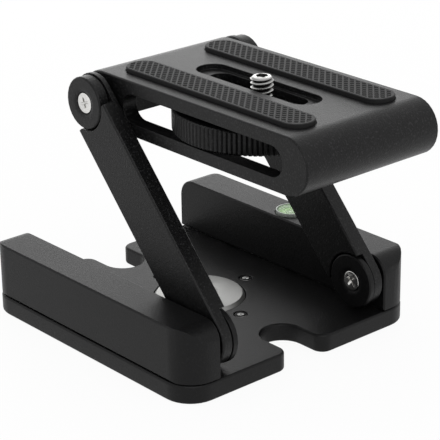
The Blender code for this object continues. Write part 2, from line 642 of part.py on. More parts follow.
def chamfer_caps(item, size, radius):
    """Draw both flat ends of an extruded shape out to a chamfer of the given size."""
    shape = bmesh.new()
    shape.from_mesh(item.data)
    scale = Matrix.Scale((radius - size) / radius, 3)
    flatten = Matrix(((scale[0][0], 0, 0), (0, scale[1][1], 0), (0, 0, 1)))
    for facing in (1, -1):
        cap = [face for face in shape.faces if face.normal.z * facing > 0.9]
        made = bmesh.ops.extrude_face_region(shape, geom=cap)["geom"]
        bmesh.ops.delete(shape, geom=cap, context="FACES_ONLY")
        rim = [part for part in made if isinstance(part, bmesh.types.BMVert)]
        bmesh.ops.transform(shape, matrix=flatten, verts=rim)
        bmesh.ops.translate(shape, vec=(0, 0, facing * size), verts=rim)
    shape.to_mesh(item.data)
    shape.free()


def knurled_wheel(wheel_frame):
    """Large knurled wheel with chamfered rims, a stem bore, a washer seat and a nut seat."""
    centre = Vector((WHEEL_X, 0, (WHEEL_TOP + WHEEL_BOTTOM) / 2))
    wheel = outline_solid("knurled_wheel", knurled_outline(), WHEEL_THICKNESS - 2 * WHEEL_CHAMFER,
                          centre, finish=BLACK_ANODISED)
    chamfer_caps(wheel, WHEEL_CHAMFER, WHEEL_RADIUS)
    bore, nut, washer = STEM_RADIUS + GAP, NUT_RADIUS + GAP, SLIDE_WASHER_RADIUS + GAP
    nut_top = WHEEL_BOTTOM + NUT_THICKNESS + 2 * GAP
    cut(wheel, [turned_solid("wheel_bore", [
        (0, WHEEL_TOP + OVERRUN), (washer, WHEEL_TOP + OVERRUN), (washer, WASHER_SEAT), (bore, WASHER_SEAT),
        (bore, nut_top), (nut, nut_top), (nut, WHEEL_BOTTOM - OVERRUN), (0, WHEEL_BOTTOM - OVERRUN)],
        DISC_STEPS, (WHEEL_X, 0, 0))])
    carry(wheel_frame, wheel)


def camera_screw(wheel_frame):
    """Camera screw: full thread above the wheel, a thinner stem through it."""
    tip = DECK_TOP + CAMERA_SCREW_RISE
    shoulder = WASHER_SEAT + GAP
    end = WHEEL_BOTTOM + GAP
    profile = [(0, tip), (CAMERA_SCREW_RADIUS - CAMERA_SCREW_CHAMFER, tip),
               (CAMERA_SCREW_RADIUS, tip - CAMERA_SCREW_CHAMFER), (CAMERA_SCREW_RADIUS, shoulder),
               (STEM_RADIUS, shoulder), (STEM_RADIUS, end), (0, end)]
    screw = turned_solid("camera_screw", profile, RING_STEPS, (WHEEL_X, 0, 0), finish=BRIGHT_STEEL)
    carry(wheel_frame, screw)


def stem_nut(wheel_frame):
    """Thin hexagon nut that locks the stem in the wheel's underside."""
    top = NUT_THICKNESS + GAP
    bore = (STEM_RADIUS + GAP) / math.cos(math.pi / NUT_SIDES)
    nut = turned_solid("stem_nut", [(bore, top), (NUT_RADIUS, top), (NUT_RADIUS, GAP), (bore, GAP)],
                       NUT_SIDES, (WHEEL_X, 0, WHEEL_BOTTOM), finish=BRIGHT_STEEL)
    carry(wheel_frame, nut)


def slide_washer(slide_frame):
    """Nylon washer that slides under the slot with the screw."""
    inner = CAMERA_SCREW_RADIUS + GAP
    top, bottom = WINDOW_CEILING - GAP, WINDOW_CEILING - GAP - SLIDE_WASHER_THICKNESS
    washer = turned_solid("slide_washer", [(inner, top), (SLIDE_WASHER_RADIUS, top),
                                           (SLIDE_WASHER_RADIUS, bottom), (inner, bottom)],
                          RING_STEPS, (WHEEL_X, 0, 0), finish=BLACK_NYLON)
    carry(slide_frame, washer)


def joint_frame(name, place, parent=None):
    """Empty on a joint's axis, carried by the frame before it."""
    frame = bpy.data.objects.new(name, None)
    frame.location = place
    PARTS.objects.link(frame)
    carry(parent, frame)
    return frame


def carry(parent, item):
    """Parent an object where it stands."""
    if parent is not None:
        bpy.context.view_layer.update()
        item.parent = parent
        item.matrix_parent_inverse = parent.matrix_world.inverted()


def main():
    """Build the tilt head from the floor up."""
    floor_plate()
    tripod_insert()
    insert_screws()
    round_level()
    for side, sign in sides():
        side_rail(side, sign)
        rail_screws(side, sign)
        lower_hinge(side, sign)
    arm_frame = joint_frame("arm_frame", LOWER_PIVOT)
    deck_frame = joint_frame("deck_frame", UPPER_PIVOT, arm_frame)
    slide_frame = joint_frame("slide_frame", (WHEEL_X, 0, WINDOW_CEILING), deck_frame)
    wheel_frame = joint_frame("wheel_frame", (WHEEL_X, 0, WHEEL_BOTTOM), slide_frame)
    for side, sign in sides():
        swing_arm(side, sign, arm_frame)
        upper_hinge(side, sign, deck_frame)
        rubber_pad(side, sign, deck_frame)
    camera_deck(deck_frame)
    slide_washer(slide_frame)
    knurled_wheel(wheel_frame)
    camera_screw(wheel_frame)
    stem_nut(wheel_frame)


clear_scene()
PARTS = new_collection("flexible_tilt_head")
CUTTERS = new_collection("cutters")
main()
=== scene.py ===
"""Looks of the folding tilt head: fine pieces, finishes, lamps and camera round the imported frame."""

import logging
import math
from collections.abc import Callable, Iterator, Sequence
from contextlib import contextmanager
from dataclasses import dataclass, field
from enum import Enum

import sys

import bmesh
import bpy
from mathutils import Matrix, Vector


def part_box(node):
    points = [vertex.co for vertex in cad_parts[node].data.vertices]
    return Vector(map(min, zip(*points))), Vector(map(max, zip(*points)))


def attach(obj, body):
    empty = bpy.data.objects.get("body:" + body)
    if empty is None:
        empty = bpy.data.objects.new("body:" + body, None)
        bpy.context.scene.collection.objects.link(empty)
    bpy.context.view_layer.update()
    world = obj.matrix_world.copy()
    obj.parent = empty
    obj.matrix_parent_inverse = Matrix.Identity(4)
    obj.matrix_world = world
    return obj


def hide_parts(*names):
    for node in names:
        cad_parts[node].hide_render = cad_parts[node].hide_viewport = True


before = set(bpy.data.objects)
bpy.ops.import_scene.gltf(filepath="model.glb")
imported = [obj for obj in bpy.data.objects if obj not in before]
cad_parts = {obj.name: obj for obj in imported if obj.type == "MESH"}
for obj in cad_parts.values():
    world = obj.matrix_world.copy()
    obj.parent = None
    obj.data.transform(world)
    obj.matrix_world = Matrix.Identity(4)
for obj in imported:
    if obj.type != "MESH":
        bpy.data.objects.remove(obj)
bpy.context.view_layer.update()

MM = 0.001
LOG = logging.getLogger("tilt_head")

# How far a cutter reaches past what it cuts.
OVERRUN = 1.0 * MM

Colour = tuple[float, float, float]
Ring = tuple[float, float]


class Body(Enum):
    """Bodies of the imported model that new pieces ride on."""

    BASE = "base"
    ARMS = "arms"
    PLATE = "plate"
    WHEEL = "wheel"


class Slot(Enum):
    """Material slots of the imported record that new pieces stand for."""

    ANODISED = "black_anodised"
    BLACK_STEEL = "black_steel"
    BRIGHT_STEEL = "bright_steel"
    ALUMINIUM = "brushed_aluminium"
    RUBBER = "black_rubber"
    NYLON = "white_nylon"
    ACRYLIC = "clear_acrylic"
    LIQUID = "level_green"


class Drive(Enum):
    """Recess in a screw's head."""

    CROSS = "cross"
    HEXAGON = "hexagon"


class Wire:
    """A shader value whose arithmetic adds Math nodes."""

    def __init__(self, paint: "Paint", socket: bpy.types.NodeSocket) -> None:
        """Wrap a socket of a paint's node tree."""
        self.paint = paint
        self.socket = socket

    def math(self, operation: str, *others: "Wire | float", swap: bool = False) -> "Wire":
        """Join values by one Math node.

        Args:
            operation: The Math node's operation.
            others: Further values, in the node's order.
            swap: True where this value comes after the first of the others.

        Returns:
            The node's result.
        """
        terms = [*others, self] if swap else [self, *others]
        return self.paint.node("ShaderNodeMath", {"operation": operation}, dict(enumerate(terms)))

    def __add__(self, other: "Wire | float") -> "Wire":
        """Sum."""
        return self.math("ADD", other)

    def __radd__(self, other: float) -> "Wire":
        """Sum with the number first."""
        return self.math("ADD", other, swap=True)

    def __sub__(self, other: "Wire | float") -> "Wire":
        """Difference."""
        return self.math("SUBTRACT", other)

    def __rsub__(self, other: float) -> "Wire":
        """Difference with the number first."""
        return self.math("SUBTRACT", other, swap=True)

    def __mul__(self, other: "Wire | float") -> "Wire":
        """Product."""
        return self.math("MULTIPLY", other)

    def __rmul__(self, other: float) -> "Wire":
        """Product with the number first."""
        return self.math("MULTIPLY", other, swap=True)

    def clipped(self) -> "Wire":
        """The value held between 0 and 1."""
        return self.math("MAXIMUM", 0.0).math("MINIMUM", 1.0)

    def climb(self, start: float, length: float) -> "Wire":
        """Share that grows from 0 at the start to 1 over a length, downwards where the length is negative."""
        return ((self - start) * (1.0 / length)).clipped()


class Paint:
    """The node tree of a material or a world while it is drawn."""

    # Places of the Mix node's colour sockets.
    MIX_SHARE = 0
    MIX_FROM = 6
    MIX_TO = 7
    MIX_RESULT = 2

    def __init__(self, name: str, world: bool = False) -> None:
        """Start a material with its Principled shader, or a world with its background.

        Args:
            name: Name of the material or the world.
            world: True for a world.
        """
        self.made = bpy.data.worlds.new(name) if world else bpy.data.materials.new(name)
        self.made.use_nodes = True
        self.tree = self.made.node_tree
        self.shader = self.tree.nodes["Background" if world else "Principled BSDF"]

    def fill(self, node: bpy.types.Node, values: dict) -> None:
        """Set or link a node's inputs.

        Args:
            node: The node.
            values: Numbers, colours or wires, by input name or index.
        """
        for key, value in values.items():
            if isinstance(value, Wire):
                self.tree.links.new(value.socket, node.inputs[key])
            else:
                node.inputs[key].default_value = value

    def node(self, kind: str, settings: dict | None = None, values: dict | None = None,
             output: int | str = 0) -> Wire:
        """Add one node.

        Args:
            kind: The node's type.
            settings: Attributes to set first.
            values: Numbers, colours or wires, by input name or index.
            output: Name or index of the output to return.

        Returns:
            The chosen output.
        """
        made = self.tree.nodes.new(kind)
        for name, value in (settings or {}).items():
            setattr(made, name, value)
        self.fill(made, values or {})
        return Wire(self, made.outputs[output])

    def place(self, centre: Vector | None = None) -> Wire:
        """Object coordinates.

        Args:
            centre: Point to measure from, if not the origin.

        Returns:
            The coordinates.
        """
        raw = self.node("ShaderNodeTexCoord", output="Object")
        if centre is None:
            return raw
        return self.node("ShaderNodeVectorMath", {"operation": "SUBTRACT"}, {0: raw, 1: centre})

    def height(self, place: Wire) -> Wire:
        """Height of a place."""
        return self.node("ShaderNodeSeparateXYZ", None, {0: place}, output="Z")

    def noise(self, place: Wire, per_metre: float, detail: float = 2.0, rough: float = 0.5) -> Wire:
        """Noise between 0 and 1 with features of the given number per metre."""
        return self.node("ShaderNodeTexNoise", None, {
            "Vector": place, "Scale": per_metre, "Detail": detail, "Roughness": rough})

    def blend(self, share: Wire, low: Wire | Colour, high: Colour) -> Wire:
        """Mix two colours.

        Args:
            share: How much of the second colour shows.
            low: First colour.
            high: Second colour.

        Returns:
            The mixed colour.
        """
        first = low if isinstance(low, Wire) else (*low, 1.0)
        return self.node("ShaderNodeMix", {"data_type": "RGBA"}, {
            self.MIX_SHARE: share, self.MIX_FROM: first, self.MIX_TO: (*high, 1.0)}, self.MIX_RESULT)

    def bump(self, height: Wire, distance: float) -> Wire:
        """Normal for a relief of the given depth in metres."""
        return self.node("ShaderNodeBump", None, {"Height": height, "Distance": distance, "Strength": 1.0})

    def finish(self, values: dict) -> bpy.types.Material | bpy.types.World:
        """Set or link the shader's sockets and hand the material or world over."""
        self.fill(self.shader, values)
        return self.made


@dataclass(frozen=True)
class Anodised:
    """Bead-blasted aluminium, dyed black and sealed."""

    name: str = "anodised_black"
    dark: Colour = (0.0016, 0.0016, 0.0018)
    light: Colour = (0.0036, 0.0036, 0.0038)
    roughness: float = 0.37
    spread: float = 0.1
    grain_per_metre: float = 2300.0
    grain_share: float = 0.7
    cloud_per_metre: float = 45.0
    contrast: float = 2.2
    contrast_from: float = 0.28
    relief: float = 0.08 * MM
    ior: float = 1.3
    # Painted glints of the blasted grain: colour of the paler specks, their share, size, contrast and
    # threshold.
    glint_speck: Colour = (0.02, 0.02, 0.0205)
    glint_speck_share: float = 1.0
    glint_specks_per_metre: float = 1840.0
    glint_speck_contrast: float = 7.0
    glint_speck_from: float = 0.56

    def material(self) -> bpy.types.Material:
        """Fine blasted grain with paler specks painted as glints, over a slow cloudiness.

        Returns:
            The material.
        """
        paint = Paint(self.name)
        place = paint.place()
        grain = paint.noise(place, self.grain_per_metre, detail=3.0, rough=0.6)
        cloud = paint.noise(place, self.cloud_per_metre, detail=3.0)
        both = grain * self.grain_share + cloud * (1.0 - self.grain_share)
        share = ((both - self.contrast_from) * self.contrast).clipped()
        # Painted highlight: paler specks stand for the glints of the blasted grain.
        glint_dots = paint.noise(place, self.glint_specks_per_metre) - self.glint_speck_from
        glint_specks = (glint_dots * self.glint_speck_contrast).clipped() * self.glint_speck_share
        return paint.finish({
            "Base Color": paint.blend(glint_specks, paint.blend(share, self.dark, self.light), self.glint_speck),
            "Roughness": self.roughness + (cloud + grain - 1.0) * (self.spread / 2),
            "Normal": paint.bump(grain, self.relief),
            "IOR": self.ior})


@dataclass(frozen=True)
class TurnedMetal:
    """Bare metal with rings left by the lathe round an upright axis, with painted shade in the grooves of a
    thread.
    """

    name: str
    centre: Vector
    dark: Colour
    light: Colour
    roughness: float
    rings_per_metre: float = 3800.0
    ring_share: float = 0.6
    cloud_per_metre: float = 160.0
    polish: float = 0.08
    ring_spread: float = 0.08
    cloud_spread: float = 0.1
    relief: float = 0.004 * MM
    # Painted shade in a thread: radius of its crests, depth over which the shade sets in below them, and
    # height above which the tip stays unshaded.
    crest: float = 0.0
    groove: float = 0.0
    tip: float = 0.0

    def material(self) -> bpy.types.Material:
        """Rings that vary with the distance from the axis, with painted shade in a thread's grooves that
        leaves its crests and its tip bright.

        Returns:
            The material.
        """
        paint = Paint(self.name)
        place = paint.place(self.centre)
        flat = paint.node("ShaderNodeVectorMath", {"operation": "MULTIPLY"}, {0: place, 1: (1, 1, 0)})
        radius = paint.node("ShaderNodeVectorMath", {"operation": "LENGTH"}, {0: flat}, "Value")
        rings = paint.node("ShaderNodeTexNoise", {"noise_dimensions": "1D"}, {
            "W": radius, "Scale": self.rings_per_metre, "Detail": 3.0, "Roughness": 0.6})
        cloud = paint.noise(place, self.cloud_per_metre, detail=3.0)
        share = (rings * self.ring_share + cloud * (1.0 - self.ring_share)).clipped()
        # Painted shade: the thread's grooves turn to the dark colour, all but the tip.
        if self.groove:
            unshaded_crests = radius.climb(self.crest - self.groove, self.groove)
            share = share * unshaded_crests.math("MAXIMUM", paint.height(place).climb(self.tip, self.groove))
        return paint.finish({
            "Base Color": paint.blend(share, self.dark, self.light),
            "Metallic": 1.0,
            "Roughness": self.roughness - self.polish + cloud * self.cloud_spread + rings * self.ring_spread,
            "Normal": paint.bump(rings, self.relief)})


@dataclass(frozen=True)
class Steel:
    """Plated or blackened steel with faint tool marks, with a bright glint painted below a height."""

    name: str
    dark: Colour
    light: Colour
    roughness: float
    metallic: float = 1.0
    ior: float = 1.5
    marks_per_metre: float = 2600.0
    cloud_per_metre: float = 420.0
    contrast: float = 1.6
    contrast_from: float = 0.6
    spread: float = 0.16
    relief: float = 0.004 * MM
    # Painted highlight: colour and height of a glint painted in a socket, and the depth over which it sets
    # in.
    glint_colour: Colour | None = None
    glint_below: float = 0.0
    glint_depth: float = 0.15 * MM

    def material(self) -> bpy.types.Material:
        """Uneven plating with small scratches, and a painted glint below a height.

        Returns:
            The material.
        """
        paint = Paint(self.name)
        place = paint.place()
        marks = paint.noise(place, self.marks_per_metre, detail=4.0, rough=0.65)
        cloud = paint.noise(place, self.cloud_per_metre)
        share = ((marks + cloud - self.contrast_from) * self.contrast).clipped()
        colour = paint.blend(share, self.dark, self.light)
        metal: float | Wire = self.metallic
        # Painted highlight: below the height the colour turns bright and metallic, as a glint in a socket.
        if self.glint_colour is not None:
            glint_share = paint.height(place).climb(self.glint_below, -self.glint_depth)
            colour = paint.blend(glint_share, colour, self.glint_colour)
            metal = glint_share * (1.0 - self.metallic) + self.metallic
        return paint.finish({
            "Base Color": colour,
            "Metallic": metal,
            "Roughness": self.roughness + (cloud - 0.5) * self.spread,
            "Normal": paint.bump(marks, self.relief),
            "IOR": self.ior})


@dataclass(frozen=True)
class Rubber:
    """Matt black rubber, with painted shade in its hollows and a cloudy bloom on the ridges at its face."""

    face: float
    name: str = "ribbed_rubber"
    dark: Colour = (0.003, 0.003, 0.0032)
    light: Colour = (0.02, 0.02, 0.0205)
    roughness: float = 0.6
    spread: float = 0.12
    pits_per_metre: float = 3200.0
    pit_share: float = 0.3
    bloom_per_metre: float = 130.0
    bloom_share: float = 0.5
    least_share: float = 0.25
    relief: float = 0.02 * MM
    # Depth below the face over which the painted shade in the hollows sets in.
    depth: float = 0.3 * MM
    ior: float = 1.4

    def material(self) -> bpy.types.Material:
        """Cloudy bloom over a fine pitted skin, fading into painted shade with the depth below the face.

        Returns:
            The material.
        """
        paint = Paint(self.name)
        place = paint.place()
        pits = paint.noise(place, self.pits_per_metre, detail=3.0, rough=0.7)
        bloom = paint.noise(place, self.bloom_per_metre, detail=3.0)
        # Painted shade: the colour darkens with the depth below the face, into the hollows.
        unshaded_face_share = paint.height(place).climb(self.face - self.depth, self.depth)
        share = unshaded_face_share * (bloom * self.bloom_share + pits * self.pit_share + self.least_share)
        return paint.finish({
            "Base Color": paint.blend(share.clipped(), self.dark, self.light),
            "Roughness": self.roughness + (pits - 0.5) * self.spread,
            "Normal": paint.bump(pits, self.relief),
            "IOR": self.ior})


@dataclass(frozen=True)
class Plastic:
    """Moulded plastic, opaque or clear."""

    name: str
    dark: Colour
    light: Colour
    roughness: float
    alpha: float = 1.0
    spread: float = 0.1
    flow_per_metre: float = 380.0
    skin_per_metre: float = 2400.0
    relief: float = 0.006 * MM

    def material(self) -> bpy.types.Material:
        """Faint flow marks of the moulding.

        Returns:
            The material.
        """
        paint = Paint(self.name)
        place = paint.place()
        flow = paint.noise(place, self.flow_per_metre)
        skin = paint.noise(place, self.skin_per_metre)
        return paint.finish({
            "Base Color": paint.blend(flow, self.dark, self.light),
            "Roughness": self.roughness + (flow - 0.5) * self.spread,
            "Alpha": self.alpha,
            "Normal": paint.bump(skin, self.relief)})


class Bench:
    """Modelling operators, used on one piece at a time."""

    # Corners of a CAD mesh that lie closer than this are one corner.
    SAME_CORNER = MM / 16
    # Faces that meet at less than this many degrees are one face.
    SAME_FACE = 0.6
    # Corners that a cut leaves closer than this to its plane lie in it.
    ON_PLANE = MM / 10000
    # Outline of one turn of a thread: share of the groove's depth, then share of the pitch.
    THREAD_SHARES = ((1.0, 0.0), (1.0, 0.14), (0.0, 0.48), (0.0, 0.62), (1.0, 1.0))
    # Turns of a thread that the cuts at its ends take away.
    SPARE_TURNS = 3
    # Strength with which large faces hold their direction.
    FACE_WEIGHT = 80

    @staticmethod
    def clear() -> None:
        """Leave edit mode and deselect everything."""
        if bpy.context.mode != "OBJECT":
            bpy.ops.object.mode_set(mode="OBJECT")
        bpy.ops.object.select_all(action="DESELECT")

    @classmethod
    def hold(cls, item: bpy.types.Object) -> None:
        """Make one object the only selected and active one.

        Args:
            item: The object.
        """
        cls.clear()
        item.select_set(True)
        bpy.context.view_layer.objects.active = item

    @classmethod
    @contextmanager
    def editing(cls, item: bpy.types.Object) -> Iterator[None]:
        """Edit mode on one object, with faces to select.

        Args:
            item: The object.

        Returns:
            A context that leaves edit mode at its end.
        """
        cls.hold(item)
        bpy.ops.object.mode_set(mode="EDIT")
        bpy.ops.mesh.select_mode(type="FACE")
        yield
        bpy.ops.object.mode_set(mode="OBJECT")

    @staticmethod
    def pick(domain: str, test: Callable[..., bool]) -> None:
        """Select the parts of the edited mesh that pass a test.

        Args:
            domain: Kind of part: faces or edges.
            test: Says of one part whether it is selected.
        """
        bpy.ops.mesh.select_all(action="DESELECT")
        data = bpy.context.edit_object.data
        shape = bmesh.from_edit_mesh(data)
        for part in getattr(shape, domain):
            if test(part):
                part.select_set(True)
        shape.select_flush_mode()
        bmesh.update_edit_mesh(data)

    @staticmethod
    def trim(place: Vector, outward: Vector, fill: bool = False) -> None:
        """Take away what lies past a plane of the edited mesh.

        Args:
            place: A point of the plane.
            outward: The plane's direction, towards what goes.
            fill: True to close the cut.
        """
        bpy.ops.mesh.select_all(action="SELECT")
        bpy.ops.mesh.bisect(plane_co=place, plane_no=outward, use_fill=fill, clear_outer=True,
                            threshold=Bench.ON_PLANE)

    @classmethod
    def turn(cls, name: str, rings: Sequence[Ring], steps: int) -> bpy.types.Object:
        """Turned solid round the Z axis, drawn up ring by ring.

        Args:
            name: Name of the piece.
            rings: Radius and height of each ring, from the lower face to the upper one.
            steps: Sides of the circle.

        Returns:
            The solid, with a flat face at both ends.
        """
        cls.clear()
        radius, height = rings[0]
        bpy.ops.mesh.primitive_circle_add(vertices=steps, radius=radius, fill_type="NGON",
                                          location=(0, 0, height))
        item = cls.named(name)
        with cls.editing(item):
            bpy.ops.mesh.select_all(action="SELECT")
            for (old, below), (new, above) in zip(rings, rings[1:]):
                bpy.ops.mesh.extrude_region_move(TRANSFORM_OT_translate={"value": (0, 0, above - below)})
                bpy.ops.transform.resize(value=(new / old, new / old, 1), center_override=(0, 0, above))
            cls.face_outwards()
        return item

    @staticmethod
    def named(name: str) -> bpy.types.Object:
        """Name the object that was just added, and put its place in its mesh.

        Args:
            name: Name of the object and of its mesh.

        Returns:
            The object.
        """
        item = bpy.context.active_object
        item.name = item.data.name = name
        bpy.ops.object.transform_apply(location=True, rotation=True, scale=True)
        return item

    @staticmethod
    def face_outwards() -> None:
        """Turn all the faces of the edited mesh outwards."""
        bpy.ops.mesh.select_all(action="SELECT")
        bpy.ops.mesh.normals_make_consistent(inside=False)
        if bmesh.from_edit_mesh(bpy.context.edit_object.data).calc_volume(signed=True) < 0:
            bpy.ops.mesh.flip_normals()

    @classmethod
    def block(cls, name: str, size: Vector, centre: Vector, turn: float,
              foot_share: float) -> bpy.types.Object:
        """Box whose lower face is drawn in.

        Args:
            name: Name of the box.
            size: Its size.
            centre: Its middle.
            turn: Its turn round the Z axis in radians.
            foot_share: Size of the lower face as a share of the upper one.

        Returns:
            The box.
        """
        cls.clear()
        bpy.ops.mesh.primitive_cube_add(size=1, location=(0, 0, 0), scale=size)
        item = cls.named(name)
        with cls.editing(item):
            cls.pick("faces", lambda face: face.normal.z < -0.5)
            bpy.ops.transform.resize(value=(foot_share, foot_share, 1),
                                     center_override=(0, 0, -size.z / 2))
        item.matrix_world = Matrix.Translation(centre) @ Matrix.Rotation(turn, 4, "Z")
        return item

    @classmethod
    def thread(cls, name: str, outer: float, depth: float, pitch: float, low: float, high: float,
               steps: int = 36) -> bpy.types.Object:
        """Threaded rod between two heights on the Z axis.

        Args:
            name: Name of the rod.
            outer: Radius over the crests.
            depth: Depth of the grooves.
            pitch: Rise of one turn.
            low: Height of the lower face.
            high: Height of the upper face.
            steps: Sides of one turn.

        Returns:
            The rod, closed by a flat face at both ends.
        """
        cls.clear()
        start = low - pitch * cls.SPARE_TURNS / 2
        close = pitch / 1000
        mesh = bpy.data.meshes.new(name)
        corners = [(outer - depth * sunk, 0, start + pitch * rise) for sunk, rise in cls.THREAD_SHARES]
        mesh.from_pydata(corners, [(i, i + 1) for i in range(len(corners) - 1)], [])
        item = bpy.data.objects.new(name, mesh)
        bpy.context.scene.collection.objects.link(item)
        screw = item.modifiers.new("turns", "SCREW")
        screw.screw_offset = pitch
        screw.iterations = math.ceil((high - low) / pitch) + cls.SPARE_TURNS
        screw.steps = screw.render_steps = steps
        screw.use_merge_vertices = True
        screw.merge_threshold = close
        cls.apply(item, screw)
        with cls.editing(item):
            bpy.ops.mesh.select_all(action="SELECT")
            bpy.ops.mesh.remove_doubles(threshold=close)
            for height, outward in ((high, 1), (low, -1)):
                cls.trim(Vector((0, 0, height)), Vector((0, 0, outward)), fill=True)
            cls.face_outwards()
        return item

    @classmethod
    def apply(cls, item: bpy.types.Object, modifier: bpy.types.Modifier) -> None:
        """Apply one modifier to an object's mesh."""
        cls.hold(item)
        bpy.ops.object.modifier_apply(modifier=modifier.name)

    @classmethod
    def carve(cls, item: bpy.types.Object, cutters: Sequence[bpy.types.Object],
              keep: bool = False) -> None:
        """Cut shapes out of a piece, or keep what lies in them, and remove them.

        Args:
            item: The piece.
            cutters: Closed shapes, all used in one Boolean.
            keep: True to keep only what lies in the one cutter.
        """
        boolean = item.modifiers.new("carve", "BOOLEAN")
        boolean.operation = "INTERSECT" if keep else "DIFFERENCE"
        boolean.solver = "EXACT"
        boolean.operand_type = "COLLECTION"
        group = bpy.data.collections.new("cutters")
        bpy.context.scene.collection.children.link(group)
        for cutter in cutters:
            group.objects.link(cutter)
        boolean.collection = group
        bpy.context.view_layer.update()
        cls.apply(item, boolean)
        for cutter in cutters:
            bpy.data.objects.remove(cutter)
        bpy.data.collections.remove(group)

    @classmethod
    def round_edges(cls, item: bpy.types.Object, size: float, sharp: float, segments: int,
                    clamped: bool = True) -> None:
        """Round the edges of a piece.

        Args:
            item: The piece.
            size: Width of the rounding.
            sharp: Least angle in degrees of an edge that is rounded.
            segments: Faces across the rounding.
            clamped: True to hold the width back where faces would overlap.
        """
        bevel = item.modifiers.new("rounding", "BEVEL")
        bevel.width = size
        bevel.segments = segments
        bevel.limit_method = "ANGLE"
        bevel.angle_limit = math.radians(sharp)
        bevel.use_clamp_overlap = clamped
        cls.apply(item, bevel)

    @classmethod
    def copy_node(cls, node: str, name: str) -> bpy.types.Object:
        """Free copy of a CAD node whose loose triangles are merged into whole faces.

        Args:
            node: The node.
            name: Name of the copy.

        Returns:
            The copy.
        """
        cls.clear()
        item = bpy.data.objects.new(name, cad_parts[node].data.copy())
        item.data.name = name
        bpy.context.scene.collection.objects.link(item)
        with cls.editing(item):
            bpy.ops.mesh.select_all(action="SELECT")
            bpy.ops.mesh.remove_doubles(threshold=cls.SAME_CORNER)
            bpy.ops.mesh.dissolve_limited(angle_limit=math.radians(cls.SAME_FACE))
            cls.face_outwards()
        return item

    @classmethod
    def weigh_normals(cls, item: bpy.types.Object) -> None:
        """Let the large faces keep their direction, so that only the rounded edges turn the light.

        Args:
            item: The piece.
        """
        weights = item.modifiers.new("weights", "WEIGHTED_NORMAL")
        weights.keep_sharp = True
        weights.weight = cls.FACE_WEIGHT
        cls.apply(item, weights)

    @classmethod
    def settle(cls, item: bpy.types.Object, place: Matrix = Matrix.Identity(4), sharp: float = 35.0) -> None:
        """Put a finished piece at its place and smooth it.

        Args:
            item: The piece.
            place: Its place, if it wasn't modelled there.
            sharp: Least angle in degrees of an edge that stays sharp.
        """
        item.matrix_world = place @ item.matrix_world
        cls.hold(item)
        bpy.ops.object.transform_apply(location=True, rotation=True, scale=True)
        bpy.ops.object.shade_smooth_by_angle(angle=math.radians(sharp))


def dress(node: str, finish: bpy.types.Material) -> None:
    """Give a CAD node its finish.

    Args:
        node: The node.
        finish: Its material.
    """
    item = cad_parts[node]
    item.data.materials.clear()
    item.data.materials.append(finish)
    LOG.info("%s: %s", node, finish.name)


def hand_over(piece: bpy.types.Object, body: Body, slot: Slot, finish: bpy.types.Material,
              *nodes: str) -> None:
    """Let a new piece ride on its body in place of its CAD nodes.

    Args:
        piece: The finished piece.
        body: Body that it rides on.
        slot: Slot of the record that its finish stands for; not used.
        finish: Its material.
        nodes: CAD nodes that it replaces.
    """
    piece.data.materials.clear()
    piece.data.materials.append(finish)
    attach(piece, body.value)
    if nodes:
        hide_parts(*nodes)
    LOG.info("%s: %d faces, for %s", piece.name, len(piece.data.polygons), ", ".join(nodes) or "detail")


def node_frame(node: str, outward: Vector) -> Matrix:
    """Place at a node's end face.

    Args:
        node: The node.
        outward: Direction that the end face looks in.

    Returns:
        A place whose origin is the middle of the face and whose Z runs out of it.
    """
    low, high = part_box(node)
    middle = (low + high) / 2
    reach = abs((high - low).dot(outward)) / 2
    return Matrix.Translation(middle + outward * reach) @ outward.to_track_quat("Z", "X").to_matrix().to_4x4()


def bearing(azimuth: float, elevation: float) -> Vector:
    """Direction from the table's origin.

    Args:
        azimuth: Degrees round the Z axis, from the near side towards the front.
        elevation: Degrees above the table.

    Returns:
        A unit vector.
    """
    turn, lift = math.radians(azimuth), math.radians(elevation)
    return Vector((math.sin(turn) * math.cos(lift), -math.cos(turn) * math.cos(lift), math.sin(lift)))


@dataclass
class MachinedPart:
    """An anodised part with the CAD node's shape, whose edges are broken by a fine rounding."""

    node: str
    body: Body
    edge: float = 0.28 * MM
    slot: Slot = Slot.ANODISED
    finish: str = "anodised"
    sharp: float = 34.0
    segments: int = 2
    smooth: float = 40.0

    def build(self) -> bpy.types.Object:
        """Copy the node's shape, cut it and round its edges.

        Returns:
            The part at its place.
        """
        item = Bench.copy_node(self.node, f"{self.node}_machined")
        self.cut(item)
        Bench.round_edges(item, self.edge, self.sharp, self.segments, clamped=False)
        return item

    def cut(self, item: bpy.types.Object) -> None:
        """Cuts made before the edges are rounded: none on a plain part."""

    def dress(self, item: bpy.types.Object, finish: bpy.types.Material) -> None:
        """Smooth the part and give it its finish.

        Args:
            item: The part.
            finish: Its material.
        """
        Bench.settle(item, sharp=self.smooth)
        Bench.weigh_normals(item)
        hand_over(item, self.body, self.slot, finish, self.node)


@dataclass
class PivotCap(MachinedPart):
    """Cap disc of a hinge with a cone turned round its screw."""

    outward: Vector = field(default_factory=lambda: Vector((0, 1, 0)))
    cone_radius: float = 4.5 * MM
    cone_foot: float = 3.0 * MM
    cone_depth: float = 0.42 * MM
    cone_sides: int = 48

    def cut(self, item: bpy.types.Object) -> None:
        """Turn the cone.

        Args:
            item: The cap's disc.
        """
        slope = (self.cone_radius - self.cone_foot) / self.cone_depth
        cone = Bench.turn("cap_cone", [
            (self.cone_foot, -self.cone_depth), (self.cone_radius + slope * OVERRUN / 2, OVERRUN / 2)],
            self.cone_sides)
        cone.matrix_world = node_frame(self.node, self.outward)
        Bench.carve(item, [cone])


